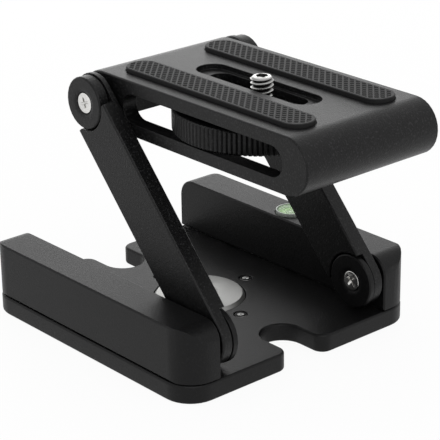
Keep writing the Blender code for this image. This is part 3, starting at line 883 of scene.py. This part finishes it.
@dataclass
class Screw:
    """A screw whose head face is at height 0 and whose shank runs down."""

    node: str
    body: Body
    slot: Slot
    outward: Vector
    head: float
    shank: float
    drive: Drive
    turn: float = 0.4
    countersunk: bool = True
    head_height: float = 1.2 * MM
    crown: float = 0.25 * MM
    crown_shares: tuple[float, float] = (0.93, 0.2)
    rim_share: float = 0.2
    tip_share: float = 0.7
    tip_bevel_share: float = 0.3
    recess_depth: float = 1.0 * MM
    recess_width: float = 0.85 * MM
    cross_share: float = 1.45
    cross_foot_share: float = 0.45
    socket_share: float = 0.66
    socket_foot_shares: Ring = (0.85, 0.8)
    soft_edge: float = 0.05 * MM
    sides: int = 32

    def build(self) -> bpy.types.Object:
        """Model the screw from its tip up.

        Returns:
            The screw on the Z axis.
        """
        low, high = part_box(self.node)
        length = abs((high - low).dot(self.outward))
        rim = self.shank * self.rim_share
        rings = [(self.shank * self.tip_share, -length),
                 (self.shank, self.shank * self.tip_bevel_share - length)]
        if self.countersunk:
            rings += [(self.shank, self.shank - self.head - rim), (self.head, -rim),
                      (self.head, -self.crown / 3)]
        else:
            rings += [(self.shank, -self.head_height), (self.head, -self.head_height),
                      (self.head, -self.crown)]
        rings += [(self.head * share, 0.0) for share in self.crown_shares]
        item = Bench.turn(f"{self.node}_detailed", rings, self.sides)
        Bench.carve(item, self.recess())
        Bench.round_edges(item, self.soft_edge, sharp=50.0, segments=1)
        return item

    def recess(self) -> list[bpy.types.Object]:
        """Cutters of the drive.

        Returns:
            One six-sided socket, or both arms of a cross.
        """
        over = OVERRUN / 2
        if self.drive is Drive.HEXAGON:
            width = self.head * self.socket_share
            foot, wall = self.socket_foot_shares
            return [Bench.turn(f"{self.node}_socket", [
                (width * foot, -self.recess_depth), (width, -self.recess_depth * wall), (width, over)], 6)]
        deep = self.recess_depth + over
        size = Vector((self.head * self.cross_share, self.recess_width, deep))
        middle = Vector((0, 0, over - deep / 2))
        return [Bench.block(f"{self.node}_arm_{index}", size, middle, self.turn + index * math.pi / 2,
                            self.cross_foot_share) for index in range(2)]

    def dress(self, item: bpy.types.Object, finish: bpy.types.Material) -> None:
        """Put the screw in its hole and give it its finish."""
        Bench.settle(item, node_frame(self.node, self.outward))
        hand_over(item, self.body, self.slot, finish, self.node)


@dataclass
class CameraScrew:
    """Quarter-inch camera screw with a socket in its domed tip and a stem through the wheel."""

    node: str = "camera_screw"
    pitch: float = 1.27 * MM
    groove: float = 0.62 * MM
    stem: float = 2.3 * MM
    stem_share: float = 0.8
    stem_bevel_share: float = 0.2
    dome: float = 0.75 * MM
    flare_share: float = 1.6
    dome_edge_shares: tuple[Ring, ...] = ((0.2, 1.0), (0.9, 0.3))
    dome_face_shares: tuple[Ring, ...] = ((0.5, 0.04), (0.1, 0.0))
    socket_radius: float = 1.75 * MM
    socket_depth: float = 1.3 * MM
    socket_foot_shares: Ring = (0.7, 0.2)
    shoulder_rise: float = 6.1 * MM
    sides: int = 36
    stem_sides: int = 32

    def build(self) -> bpy.types.Object:
        """Cut the thread, dome its tip and join it to the stem.

        Returns:
            The screw at its place.
        """
        low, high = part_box(self.node)
        outer = (high.x - low.x) / 2
        shoulder = low.z + self.shoulder_rise
        item = Bench.thread("camera_screw_threaded", outer, self.groove, self.pitch, shoulder, high.z,
                            self.sides)
        Bench.carve(item, [self.limit(outer, shoulder, high.z)], keep=True)
        foot = high.z - self.socket_depth
        inward, rise = self.socket_foot_shares
        Bench.carve(item, [Bench.turn("screw_socket", [
            (self.socket_radius * inward, foot), (self.socket_radius, foot + self.socket_radius * rise),
            (self.socket_radius, high.z + OVERRUN)], 6)])
        stem = Bench.turn("screw_stem", [
            (self.stem * self.stem_share, low.z), (self.stem, low.z + self.stem * self.stem_bevel_share),
            (self.stem, shoulder + OVERRUN)], self.stem_sides)
        Bench.hold(item)
        stem.select_set(True)
        bpy.ops.object.join()
        item.matrix_world = Matrix.Translation(((low.x + high.x) / 2, 0, 0))
        return item

    def limit(self, outer: float, shoulder: float, top: float) -> bpy.types.Object:
        """Shape that the threaded rod is cut down to.

        Args:
            outer: Radius over the thread's crests.
            shoulder: Height where the thread starts.
            top: Height of the tip.

        Returns:
            A turned blank with a sloping shoulder and a dome.
        """
        rings = [(outer - self.groove, shoulder - OVERRUN), (outer + OVERRUN, shoulder + self.groove),
                 (outer + OVERRUN, top - self.dome * self.flare_share)]
        rings += [(outer - self.dome * inward, top - self.dome * down)
                  for inward, down in self.dome_edge_shares]
        rings += [(outer * share, top - self.dome * down) for share, down in self.dome_face_shares]
        return Bench.turn("screw_limit", rings, self.sides)

    def dress(self, item: bpy.types.Object, finish: bpy.types.Material) -> None:
        """Leave the screw in the wheel with its finish."""
        Bench.settle(item, sharp=30.0)
        hand_over(item, Body.WHEEL, Slot.BRIGHT_STEEL, finish, self.node)


@dataclass
class StemNut:
    """Thin hexagon nut with its corners turned off."""

    node: str = "stem_nut"
    bore: float = 2.6 * MM
    corner_cut: float = 0.3 * MM
    corner_over: float = 0.1 * MM
    blank_shares: tuple[float, float] = (0.88, 1.02)
    turn: float = math.pi / 6
    sides: int = 48
    bore_sides: int = 32

    def build(self) -> bpy.types.Object:
        """Model the nut as a hexagon held inside a turned blank.

        Returns:
            The nut on the Z axis, standing on height 0.
        """
        low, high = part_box(self.node)
        radius = (high.x - low.x) / 2
        height = high.z - low.z
        face, side = (radius * share for share in self.blank_shares)
        item = Bench.turn("stem_nut_chamfered", [(radius, 0), (radius, height)], 6)
        blank = Bench.turn("nut_blank", [
            (face, -self.corner_over), (side, self.corner_cut), (side, height - self.corner_cut),
            (face, height + self.corner_over)], self.sides)
        Bench.carve(item, [blank], keep=True)
        Bench.carve(item, [Bench.turn("nut_bore", [(self.bore, -OVERRUN), (self.bore, height + OVERRUN)],
                                      self.bore_sides)])
        return item

    def dress(self, item: bpy.types.Object, finish: bpy.types.Material) -> None:
        """Seat the nut in the wheel's underside.

        Args:
            item: The nut.
            finish: Its material.
        """
        low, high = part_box(self.node)
        place = Matrix.Translation(((low.x + high.x) / 2, 0, low.z))
        Bench.settle(item, place @ Matrix.Rotation(self.turn, 4, "Z"))
        hand_over(item, Body.WHEEL, Slot.BRIGHT_STEEL, finish, self.node)


@dataclass
class TripodInsert:
    """Stepped disc with the tripod thread cut through it."""

    node: str = "tripod_insert"
    face: float = 13.3 * MM
    chamfer: float = 0.9 * MM
    flange: float = 2.0 * MM
    soft: float = 0.15 * MM
    thread_radius: float = 4.76 * MM
    thread_depth: float = 0.9 * MM
    thread_pitch: float = 1.5875 * MM
    lead_in: float = 0.8 * MM
    screw_clearance: float = 1.3 * MM
    screw_depth: float = 0.7 * MM
    screw_top_share: float = 1.4
    sides: int = 96
    sink_sides: int = 48
    hole_sides: int = 24

    def build(self) -> bpy.types.Object:
        """Turn the disc, bore it with the threaded rod and countersink both ends.

        Returns:
            The insert at its place.
        """
        low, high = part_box(self.node)
        rim, top, soft = (high.x - low.x) / 2, high.z, self.soft
        shoulder = self.face - self.chamfer
        item = Bench.turn("tripod_insert_threaded", [
            (rim - soft, 0), (rim, soft), (rim, self.flange - soft), (rim - soft, self.flange),
            (self.face, self.flange), (self.face, top - self.chamfer - soft),
            (self.face - soft, top - self.chamfer + soft / 2),
            (shoulder + soft, top - soft / 2), (shoulder - soft, top)], self.sides)
        rod = Bench.thread("insert_thread", self.thread_radius, self.thread_depth, self.thread_pitch,
                           -OVERRUN, top + OVERRUN)
        wide, root = self.thread_radius + self.lead_in, self.thread_radius - self.thread_depth
        depth = self.lead_in + self.thread_depth
        upper = Bench.turn("upper_sink", [(root, top - depth), (wide, top), (wide, top + OVERRUN / 2)],
                           self.sink_sides)
        lower = Bench.turn("lower_sink", [(wide, -OVERRUN / 2), (wide, 0), (root, depth)], self.sink_sides)
        Bench.carve(item, [rod])
        Bench.carve(item, [upper, lower] + self.screw_holes())
        return item

    def screw_holes(self) -> list[bpy.types.Object]:
        """Cutters for the screws that hold the flange.

        Returns:
            One cutter for each screw, at its place.
        """
        holes = []
        for index in range(1, 5):
            low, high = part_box(f"insert_screw_{index}")
            hole = Bench.turn(f"flange_hole_{index}", [
                (self.screw_clearance, self.screw_depth),
                (self.screw_clearance, self.flange * self.screw_top_share)], self.hole_sides)
            hole.matrix_world = Matrix.Translation(((low.x + high.x) / 2, (low.y + high.y) / 2, 0))
            holes.append(hole)
        return holes

    def dress(self, item: bpy.types.Object, finish: bpy.types.Material) -> None:
        """Leave the insert in the floor plate with its finish."""
        Bench.settle(item, sharp=25.0)
        hand_over(item, Body.BASE, Slot.ALUMINIUM, finish, self.node)


@dataclass
class RoundLevel:
    """Bubble level: liquid, printed ring, bubble and lens in their cup."""

    cup: str = "level_cup"
    lens: str = "level_lens"
    liquid: str = "level_liquid"
    lens_rim: float = 0.25 * MM
    lens_edge: float = 0.12 * MM
    lens_dome: float = 0.03 * MM
    lens_shares: tuple[Ring, ...] = ((0.8, 1.0), (0.4, 0.0))
    liquid_edge: float = 0.1 * MM
    liquid_foot_share: float = 0.9
    mark_radius: float = 1.35 * MM
    mark_width: float = 0.34 * MM
    mark_height: float = 0.06 * MM
    bubble_radius: float = 1.0 * MM
    bubble_height: float = 0.5 * MM
    bubble_shares: tuple[Ring, ...] = ((0.75, 0.0), (1.0, 0.2), (0.9, 0.4), (0.5, 0.5))
    lens_sides: int = 48
    sides: int = 40
    bubble_sides: int = 32

    def build(self) -> dict[str, bpy.types.Object]:
        """Model the lens and the three pieces under it.

        Returns:
            The pieces by what they are, on the Z axis at their heights.
        """
        lens_low, lens_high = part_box(self.lens)
        liquid_low, liquid_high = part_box(self.liquid)
        lens_radius = (lens_high.x - lens_low.x) / 2
        liquid_radius = (liquid_high.x - liquid_low.x) / 2
        foot = liquid_radius * self.liquid_foot_share
        top, floor = lens_high.z, liquid_high.z
        lens = Bench.turn("level_lens_domed", [
            (lens_radius, lens_low.z), (lens_radius, top - self.lens_rim),
            (lens_radius - self.lens_edge, top - self.lens_edge),
            *((lens_radius * share, top - self.lens_dome * down) for share, down in self.lens_shares)],
            self.lens_sides)
        liquid = Bench.turn("level_liquid_filled", [
            (foot, liquid_low.z), (liquid_radius, liquid_low.z + liquid_radius - foot),
            (liquid_radius, floor - self.liquid_edge), (liquid_radius - self.liquid_edge, floor)], self.sides)
        outer, inner = self.mark_radius + self.mark_width / 2, self.mark_radius - self.mark_width / 2
        mark = Bench.turn("level_ring", [(outer, floor), (outer, floor + self.mark_height)], self.sides)
        Bench.carve(mark, [Bench.turn("ring_bore", [(inner, floor - OVERRUN), (inner, floor + OVERRUN)],
                                      self.sides)])
        bubble = Bench.turn("level_bubble", [
            (self.bubble_radius * share, floor + self.bubble_height * rise)
            for share, rise in self.bubble_shares], self.bubble_sides)
        return {"lens": lens, "liquid": liquid, "mark": mark, "bubble": bubble}

    def dress(self, pieces: dict[str, bpy.types.Object], clear: bpy.types.Material,
              green: bpy.types.Material, ink: bpy.types.Material, pale: bpy.types.Material) -> None:
        """Put the pieces in the cup, each with its finish.

        Args:
            pieces: The pieces by what they are.
            clear: Material of the lens.
            green: Material of the liquid.
            ink: Material of the ring mark.
            pale: Material of the bubble.
        """
        low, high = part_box(self.cup)
        place = Matrix.Translation(((low.x + high.x) / 2, (low.y + high.y) / 2, 0))
        for item in pieces.values():
            Bench.settle(item, place)
        hand_over(pieces["lens"], Body.BASE, Slot.ACRYLIC, clear, self.lens)
        hand_over(pieces["liquid"], Body.BASE, Slot.LIQUID, green, self.liquid)
        hand_over(pieces["mark"], Body.BASE, Slot.BLACK_STEEL, ink)
        hand_over(pieces["bubble"], Body.BASE, Slot.ACRYLIC, pale)


@dataclass
class GripStrip:
    """Rubber strip whose top is a lattice of fine ridges round sunken diamonds."""

    node: str
    pitch: float = 1.59 * MM
    ridge: float = 0.36 * MM
    slope: float = 0.2 * MM
    sink: float = 0.3 * MM
    least_diamond_share: float = 0.3
    border: float = 0.35 * MM
    rim_drop: float = 0.22 * MM
    spare_cells: int = 2
    end_cuts: int = 9

    def build(self) -> bpy.types.Object:
        """Trim a diagonal grid to the strip's outline, sink its diamonds and draw the sides down.

        Returns:
            The strip at its place.
        """
        low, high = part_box(self.node)
        middle = (low + high) / 2
        length, width = high.x - low.x, high.y - low.y
        half_length, half_width = length / 2 - self.border, width / 2 - self.border
        centre = Vector((middle.x, middle.y, high.z))
        cells = math.ceil((length + width) / math.sqrt(2) / self.pitch) + self.spare_cells
        least = self.least_diamond_share * self.pitch ** 2
        Bench.clear()
        bpy.ops.mesh.primitive_grid_add(x_subdivisions=cells, y_subdivisions=cells, size=cells * self.pitch,
                                        location=centre, rotation=(0, 0, math.pi / 4))
        item = Bench.named(f"{self.node}_diamonds")
        with Bench.editing(item):
            for edge, outward in self.trim_planes(half_length, half_width):
                Bench.trim(centre + edge, outward)
            Bench.pick("faces", lambda face: face.calc_area() > least)
            bpy.ops.mesh.inset(use_individual=True, use_even_offset=True, thickness=self.ridge / 2)
            bpy.ops.mesh.inset(use_individual=True, use_even_offset=True, thickness=self.slope,
                               depth=-self.sink)
            bpy.ops.mesh.select_mode(type="EDGE")
            Bench.pick("edges", lambda edge: edge.is_boundary)
            grown = 0.0
            for spread, drop in ((self.border / 2, 0.0), (self.border, self.rim_drop)):
                bpy.ops.mesh.extrude_region_move(TRANSFORM_OT_translate={"value": (0, 0, -drop)})
                bpy.ops.transform.resize(value=((half_length + spread) / (half_length + grown),
                                                (half_width + spread) / (half_width + grown), 1),
                                         center_override=centre)
                grown = spread
            bpy.ops.mesh.extrude_region_move(
                TRANSFORM_OT_translate={"value": (0, 0, low.z - high.z + self.rim_drop)})
            bpy.ops.mesh.edge_face_add()
            Bench.face_outwards()
        return item

    def trim_planes(self, half_length: float, half_width: float) -> list[tuple[Vector, Vector]]:
        """Planes round the outline: two sides and a fan round each end.

        Args:
            half_length: Half the outline's length.
            half_width: Half its width, which is also the radius of its ends.

        Returns:
            For each plane, a point measured from the strip's centre and the direction outwards.
        """
        planes = [(Vector((0, side * half_width, 0)), Vector((0, side, 0))) for side in (1, -1)]
        for end in (1, -1):
            centre = Vector((end * (half_length - half_width), 0, 0))
            for step in range(self.end_cuts):
                angle = math.pi * ((step + 0.5) / self.end_cuts - 0.5)
                outward = Vector((end * math.cos(angle), math.sin(angle), 0))
                planes.append((centre + outward * half_width, outward))
        return planes

    def dress(self, item: bpy.types.Object, finish: bpy.types.Material) -> None:
        """Leave the strip in its pocket with its finish."""
        Bench.settle(item, sharp=20.0)
        hand_over(item, Body.PLATE, Slot.RUBBER, finish, self.node)


@dataclass
class TiltHead:
    """The whole head: which pieces are modelled anew and which CAD nodes only get a finish."""

    sides: tuple[tuple[str, int], ...] = (("left", 1), ("right", -1))
    pivot_head: float = 2.9 * MM
    pivot_shank: float = 1.5 * MM
    rail_screw_head: float = 2.8 * MM
    rail_screw_shank: float = 1.5 * MM
    insert_screw_head: float = 1.7 * MM
    insert_screw_shank: float = 1.0 * MM
    insert_screw_recess: float = 0.7 * MM
    # Painted shade in the camera screw's thread: depth over which it sets in below the crests, and length
    # down from the tip where it gives way.
    groove_shade_depth: float = 0.55 * MM
    unshaded_tip: float = 0.75 * MM
    dark_rim: float = 0.1 * MM
    finishes: dict[str, bpy.types.Material] = field(default_factory=dict)

    def mix_finishes(self) -> None:
        """Make every material once."""
        low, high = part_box("camera_screw")
        axis = Vector(((low.x + high.x) / 2, 0, 0))
        # Height below which a glint is painted in the insert screws' sockets, a thin dark rim under their
        # heads.
        socket_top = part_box("insert_screw_1")[1].z - self.dark_rim
        kinds = {
            "anodised": Anodised(),
            # The base parts get a quarter of the painted glint specks.
            "anodised_base": Anodised("anodised_black_base", roughness=0.42, ior=1.28, glint_speck_share=0.25),
            "insert": TurnedMetal("turned_insert", Vector((0, 0, 0)), dark=(0.26, 0.26, 0.255),
                                  light=(0.45, 0.45, 0.44), roughness=0.45),
            "bright": Steel("bright_plated_steel", (0.5, 0.5, 0.49), (0.8, 0.79, 0.77), roughness=0.2),
            "thread": TurnedMetal("turned_screw", axis, dark=(0.06, 0.06, 0.058), light=(0.95, 0.94, 0.92),
                                  roughness=0.2, crest=(high.x - low.x) / 2, groove=self.groove_shade_depth,
                                  tip=high.z - self.unshaded_tip),
            "black": Steel("blackened_steel", (0.006, 0.006, 0.006), (0.02, 0.02, 0.02), roughness=0.3,
                           metallic=0.0, ior=1.25),
            "socket": Steel("blackened_steel_socket_glint", (0.004, 0.004, 0.004), (0.012, 0.012, 0.012),
                            roughness=0.3, metallic=0.0, ior=1.12, glint_colour=(0.85, 0.85, 0.84),
                            glint_below=socket_top),
            "rubber": Rubber(face=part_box("left_pad")[1].z),
            "nylon": Plastic("white_moulded_nylon", (0.44, 0.48, 0.44), (0.54, 0.58, 0.54), 0.4),
            "washer": Plastic("dark_moulded_nylon", (0.012, 0.012, 0.012), (0.024, 0.024, 0.024), 0.5),
            "clear": Plastic("clear_moulded_acrylic", (0.6, 0.9, 0.5), (0.7, 0.95, 0.6), 0.06, alpha=0.25),
            "liquid": Plastic("pale_green_liquid", (0.3, 0.6, 0.12), (0.4, 0.68, 0.2), 0.15),
            "ink": Plastic("printed_ink", (0.012, 0.02, 0.012), (0.03, 0.045, 0.03), 0.4),
            "bubble": Plastic("bubble_glint", (0.78, 0.9, 0.7), (0.88, 0.96, 0.82), 0.08, alpha=0.55)}
        self.finishes = {name: kind.material() for name, kind in kinds.items()}

    def dress_nodes(self) -> None:
        """Give the washers, which stay as the CAD nodes, their finish."""
        washers = ["slide_washer"]
        for side, _ in self.sides:
            washers += [f"{side}_upper_washer", f"{side}_lower_washer"]
        for node in washers:
            dress(node, self.finishes["washer"])

    def machined_parts(self) -> list[MachinedPart]:
        """List every anodised part and the level's cup.

        Returns:
            The parts, each with its edge.
        """
        base = "anodised_base"
        made = [MachinedPart("floor_plate", Body.BASE, finish=base),
                MachinedPart("camera_plate", Body.PLATE, edge=0.16 * MM),
                MachinedPart("level_cup", Body.BASE, edge=0.06 * MM, slot=Slot.NYLON, finish="nylon"),
                MachinedPart("knurled_wheel", Body.WHEEL, edge=0.07 * MM, segments=1)]
        for side, sign in self.sides:
            across = Vector((0, sign, 0))
            made += [MachinedPart(f"{side}_rail", Body.BASE, edge=0.1 * MM, finish=base),
                     MachinedPart(f"{side}_arm", Body.ARMS, edge=0.11 * MM),
                     PivotCap(f"{side}_lower_cap", Body.BASE, edge=0.12 * MM, finish=base, outward=-across),
                     PivotCap(f"{side}_upper_cap", Body.PLATE, edge=0.12 * MM, outward=across)]
        return made

    def screws(self) -> list[tuple[Screw, str]]:
        """List every plain screw.

        Returns:
            The screws, each with the name of its finish.
        """
        made: list[tuple[Screw, str]] = []
        up, down = Vector((0, 0, 1)), Vector((0, 0, -1))
        for side, sign in self.sides:
            across = Vector((0, sign, 0))
            for level, body, outward, turn in (("upper", Body.PLATE, across, 0.35),
                                               ("lower", Body.BASE, -across, 0.9)):
                made.append((Screw(f"{side}_{level}_pivot_screw", body, Slot.BRIGHT_STEEL, outward,
                                   self.pivot_head, self.pivot_shank, Drive.CROSS, turn), "bright"))
            for index in (1, 2, 3):
                made.append((Screw(f"{side}_rail_screw_{index}", Body.BASE, Slot.BLACK_STEEL, down,
                                   self.rail_screw_head, self.rail_screw_shank, Drive.CROSS, 0.5 * index),
                             "black"))
        for index in range(1, 5):
            made.append((Screw(f"insert_screw_{index}", Body.BASE, Slot.BLACK_STEEL, up,
                               self.insert_screw_head, self.insert_screw_shank, Drive.HEXAGON,
                               countersunk=False, recess_depth=self.insert_screw_recess, sides=24), "socket"))
        return made

    def build(self) -> None:
        """Model, place and finish every new piece, then dress the CAD nodes."""
        self.mix_finishes()
        for part in self.machined_parts():
            part.dress(part.build(), self.finishes[part.finish])
        for screw, finish in self.screws():
            screw.dress(screw.build(), self.finishes[finish])
        camera_screw = CameraScrew()
        camera_screw.dress(camera_screw.build(), self.finishes["thread"])
        nut = StemNut()
        nut.dress(nut.build(), self.finishes["bright"])
        insert = TripodInsert()
        insert.dress(insert.build(), self.finishes["insert"])
        level = RoundLevel()
        level.dress(level.build(), self.finishes["clear"], self.finishes["liquid"], self.finishes["ink"],
                    self.finishes["bubble"])
        for side, _ in self.sides:
            strip = GripStrip(f"{side}_pad")
            strip.dress(strip.build(), self.finishes["rubber"])
        self.dress_nodes()


@dataclass(frozen=True)
class Lamp:
    """Square soft lamp aimed at a point over the table's origin. Angles are in degrees, power in watts."""

    name: str
    azimuth: float
    elevation: float
    distance: float
    side: float
    power: float
    aim_height: float = 40 * MM

    def hang(self) -> None:
        """Place the lamp and aim it."""
        place = bearing(self.azimuth, self.elevation) * self.distance
        data = bpy.data.lights.new(self.name, "AREA")
        data.size = self.side
        data.energy = self.power
        item = bpy.data.objects.new(self.name, data)
        bpy.context.scene.collection.objects.link(item)
        aim = Vector((0, 0, self.aim_height)) - place
        item.matrix_world = Matrix.Translation(place) @ aim.to_track_quat("-Z", "Y").to_matrix().to_4x4()


@dataclass
class Studio:
    """White table, white surroundings, soft lamps and the camera."""

    azimuth: float = 49.202
    elevation: float = 22.062
    roll: float = -0.887
    distance: float = 532.83 * MM
    lens: float = 149.28
    sensor: float = 36.0
    nearest: float = 0.01
    farthest: float = 20.0
    across: float = 5.897 * MM
    above: float = 26.719 * MM
    table_size: float = 6.0
    table_drop: float = 0.02 * MM
    table_dark: Colour = (0.84, 0.84, 0.84)
    table_light: Colour = (0.88, 0.88, 0.88)
    table_roughness: float = 0.9
    table_grain_per_metre: float = 900.0
    table_white_share: float = 0.93
    horizon_level: float = 0.14
    white_above: float = 0.7
    lamps: tuple[Lamp, ...] = (Lamp("back_softbox", 237.0, 21.0, 0.65, 0.5, 0.92),
                               Lamp("front_softbox", 60.0, 42.0, 0.8, 0.5, 1.4))

    def place_camera(self) -> None:
        """Camera at the photograph's view, looking past the table's origin."""
        turn, roll = math.radians(self.azimuth), math.radians(self.roll)
        back = bearing(self.azimuth, self.elevation)
        right = Vector((math.cos(turn), math.sin(turn), 0))
        up = back.cross(right)
        level_right = right * math.cos(roll) + up * math.sin(roll)
        level_up = up * math.cos(roll) - right * math.sin(roll)
        data = bpy.data.cameras.new("camera")
        data.lens = self.lens
        data.sensor_width = self.sensor
        data.clip_start = self.nearest
        data.clip_end = self.farthest
        item = bpy.data.objects.new("camera", data)
        bpy.context.scene.collection.objects.link(item)
        turned = Matrix((level_right, level_up, back)).transposed().to_4x4()
        item.matrix_world = Matrix.Translation(
            level_right * self.across + level_up * self.above + back * self.distance) @ turned
        bpy.context.scene.camera = item

    def lay_table(self) -> None:
        """White table that keeps the head's soft shadow."""
        Bench.clear()
        bpy.ops.mesh.primitive_plane_add(size=self.table_size, location=(0, 0, -self.table_drop))
        table = Bench.named("table")
        paint = Paint("white_table")
        speckle = paint.noise(paint.place(), self.table_grain_per_metre)
        paint.finish({"Base Color": paint.blend(speckle, self.table_dark, self.table_light),
                      "Roughness": self.table_roughness})
        white = paint.node("ShaderNodeEmission", None, {"Color": (1, 1, 1, 1), "Strength": 1.0})
        lit = Wire(paint, paint.shader.outputs[0])
        share = self.background_rays(paint) * self.table_white_share
        mixed = paint.node("ShaderNodeMixShader", None, {0: share, 1: lit, 2: white})
        paint.fill(paint.tree.nodes["Material Output"], {"Surface": mixed})
        table.data.materials.append(paint.made)

    @staticmethod
    def background_rays(paint: Paint) -> Wire:
        """Find the rays that show the white background: camera, glossy and transmitted ones.

        Args:
            paint: Where the nodes are drawn.

        Returns:
            One for those rays, and nought for the others.
        """
        camera, glossy, passed = (paint.node("ShaderNodeLightPath", output=name) for name in (
            "Is Camera Ray", "Is Glossy Ray", "Is Transmission Ray"))
        return camera.math("MAXIMUM", glossy).math("MAXIMUM", passed)

    def light_world(self) -> None:
        """White tent that lights less from the horizon, and looks white to the camera, gloss and glass."""
        paint = Paint("studio", world=True)
        height = paint.height(paint.node("ShaderNodeTexCoord", output="Generated"))
        strength = paint.node("ShaderNodeMapRange", None, {
            "Value": height, "From Max": self.white_above, "To Min": self.horizon_level}, "Result")
        bpy.context.scene.world = paint.finish({
            "Color": (1, 1, 1, 1), "Strength": strength.math("MAXIMUM", self.background_rays(paint))})

    def set_up(self) -> None:
        """Camera, table, world and lamps."""
        self.place_camera()
        self.lay_table()
        self.light_world()
        for lamp in self.lamps:
            lamp.hang()
        bpy.context.scene.view_settings.view_transform = "Standard"


def main() -> None:
    """Build the head's looks, then the studio."""
    logging.basicConfig(level=logging.INFO, format="%(message)s", stream=sys.stdout)
    TiltHead().build()
    Studio().set_up()


if __name__ == "__main__":
    main()
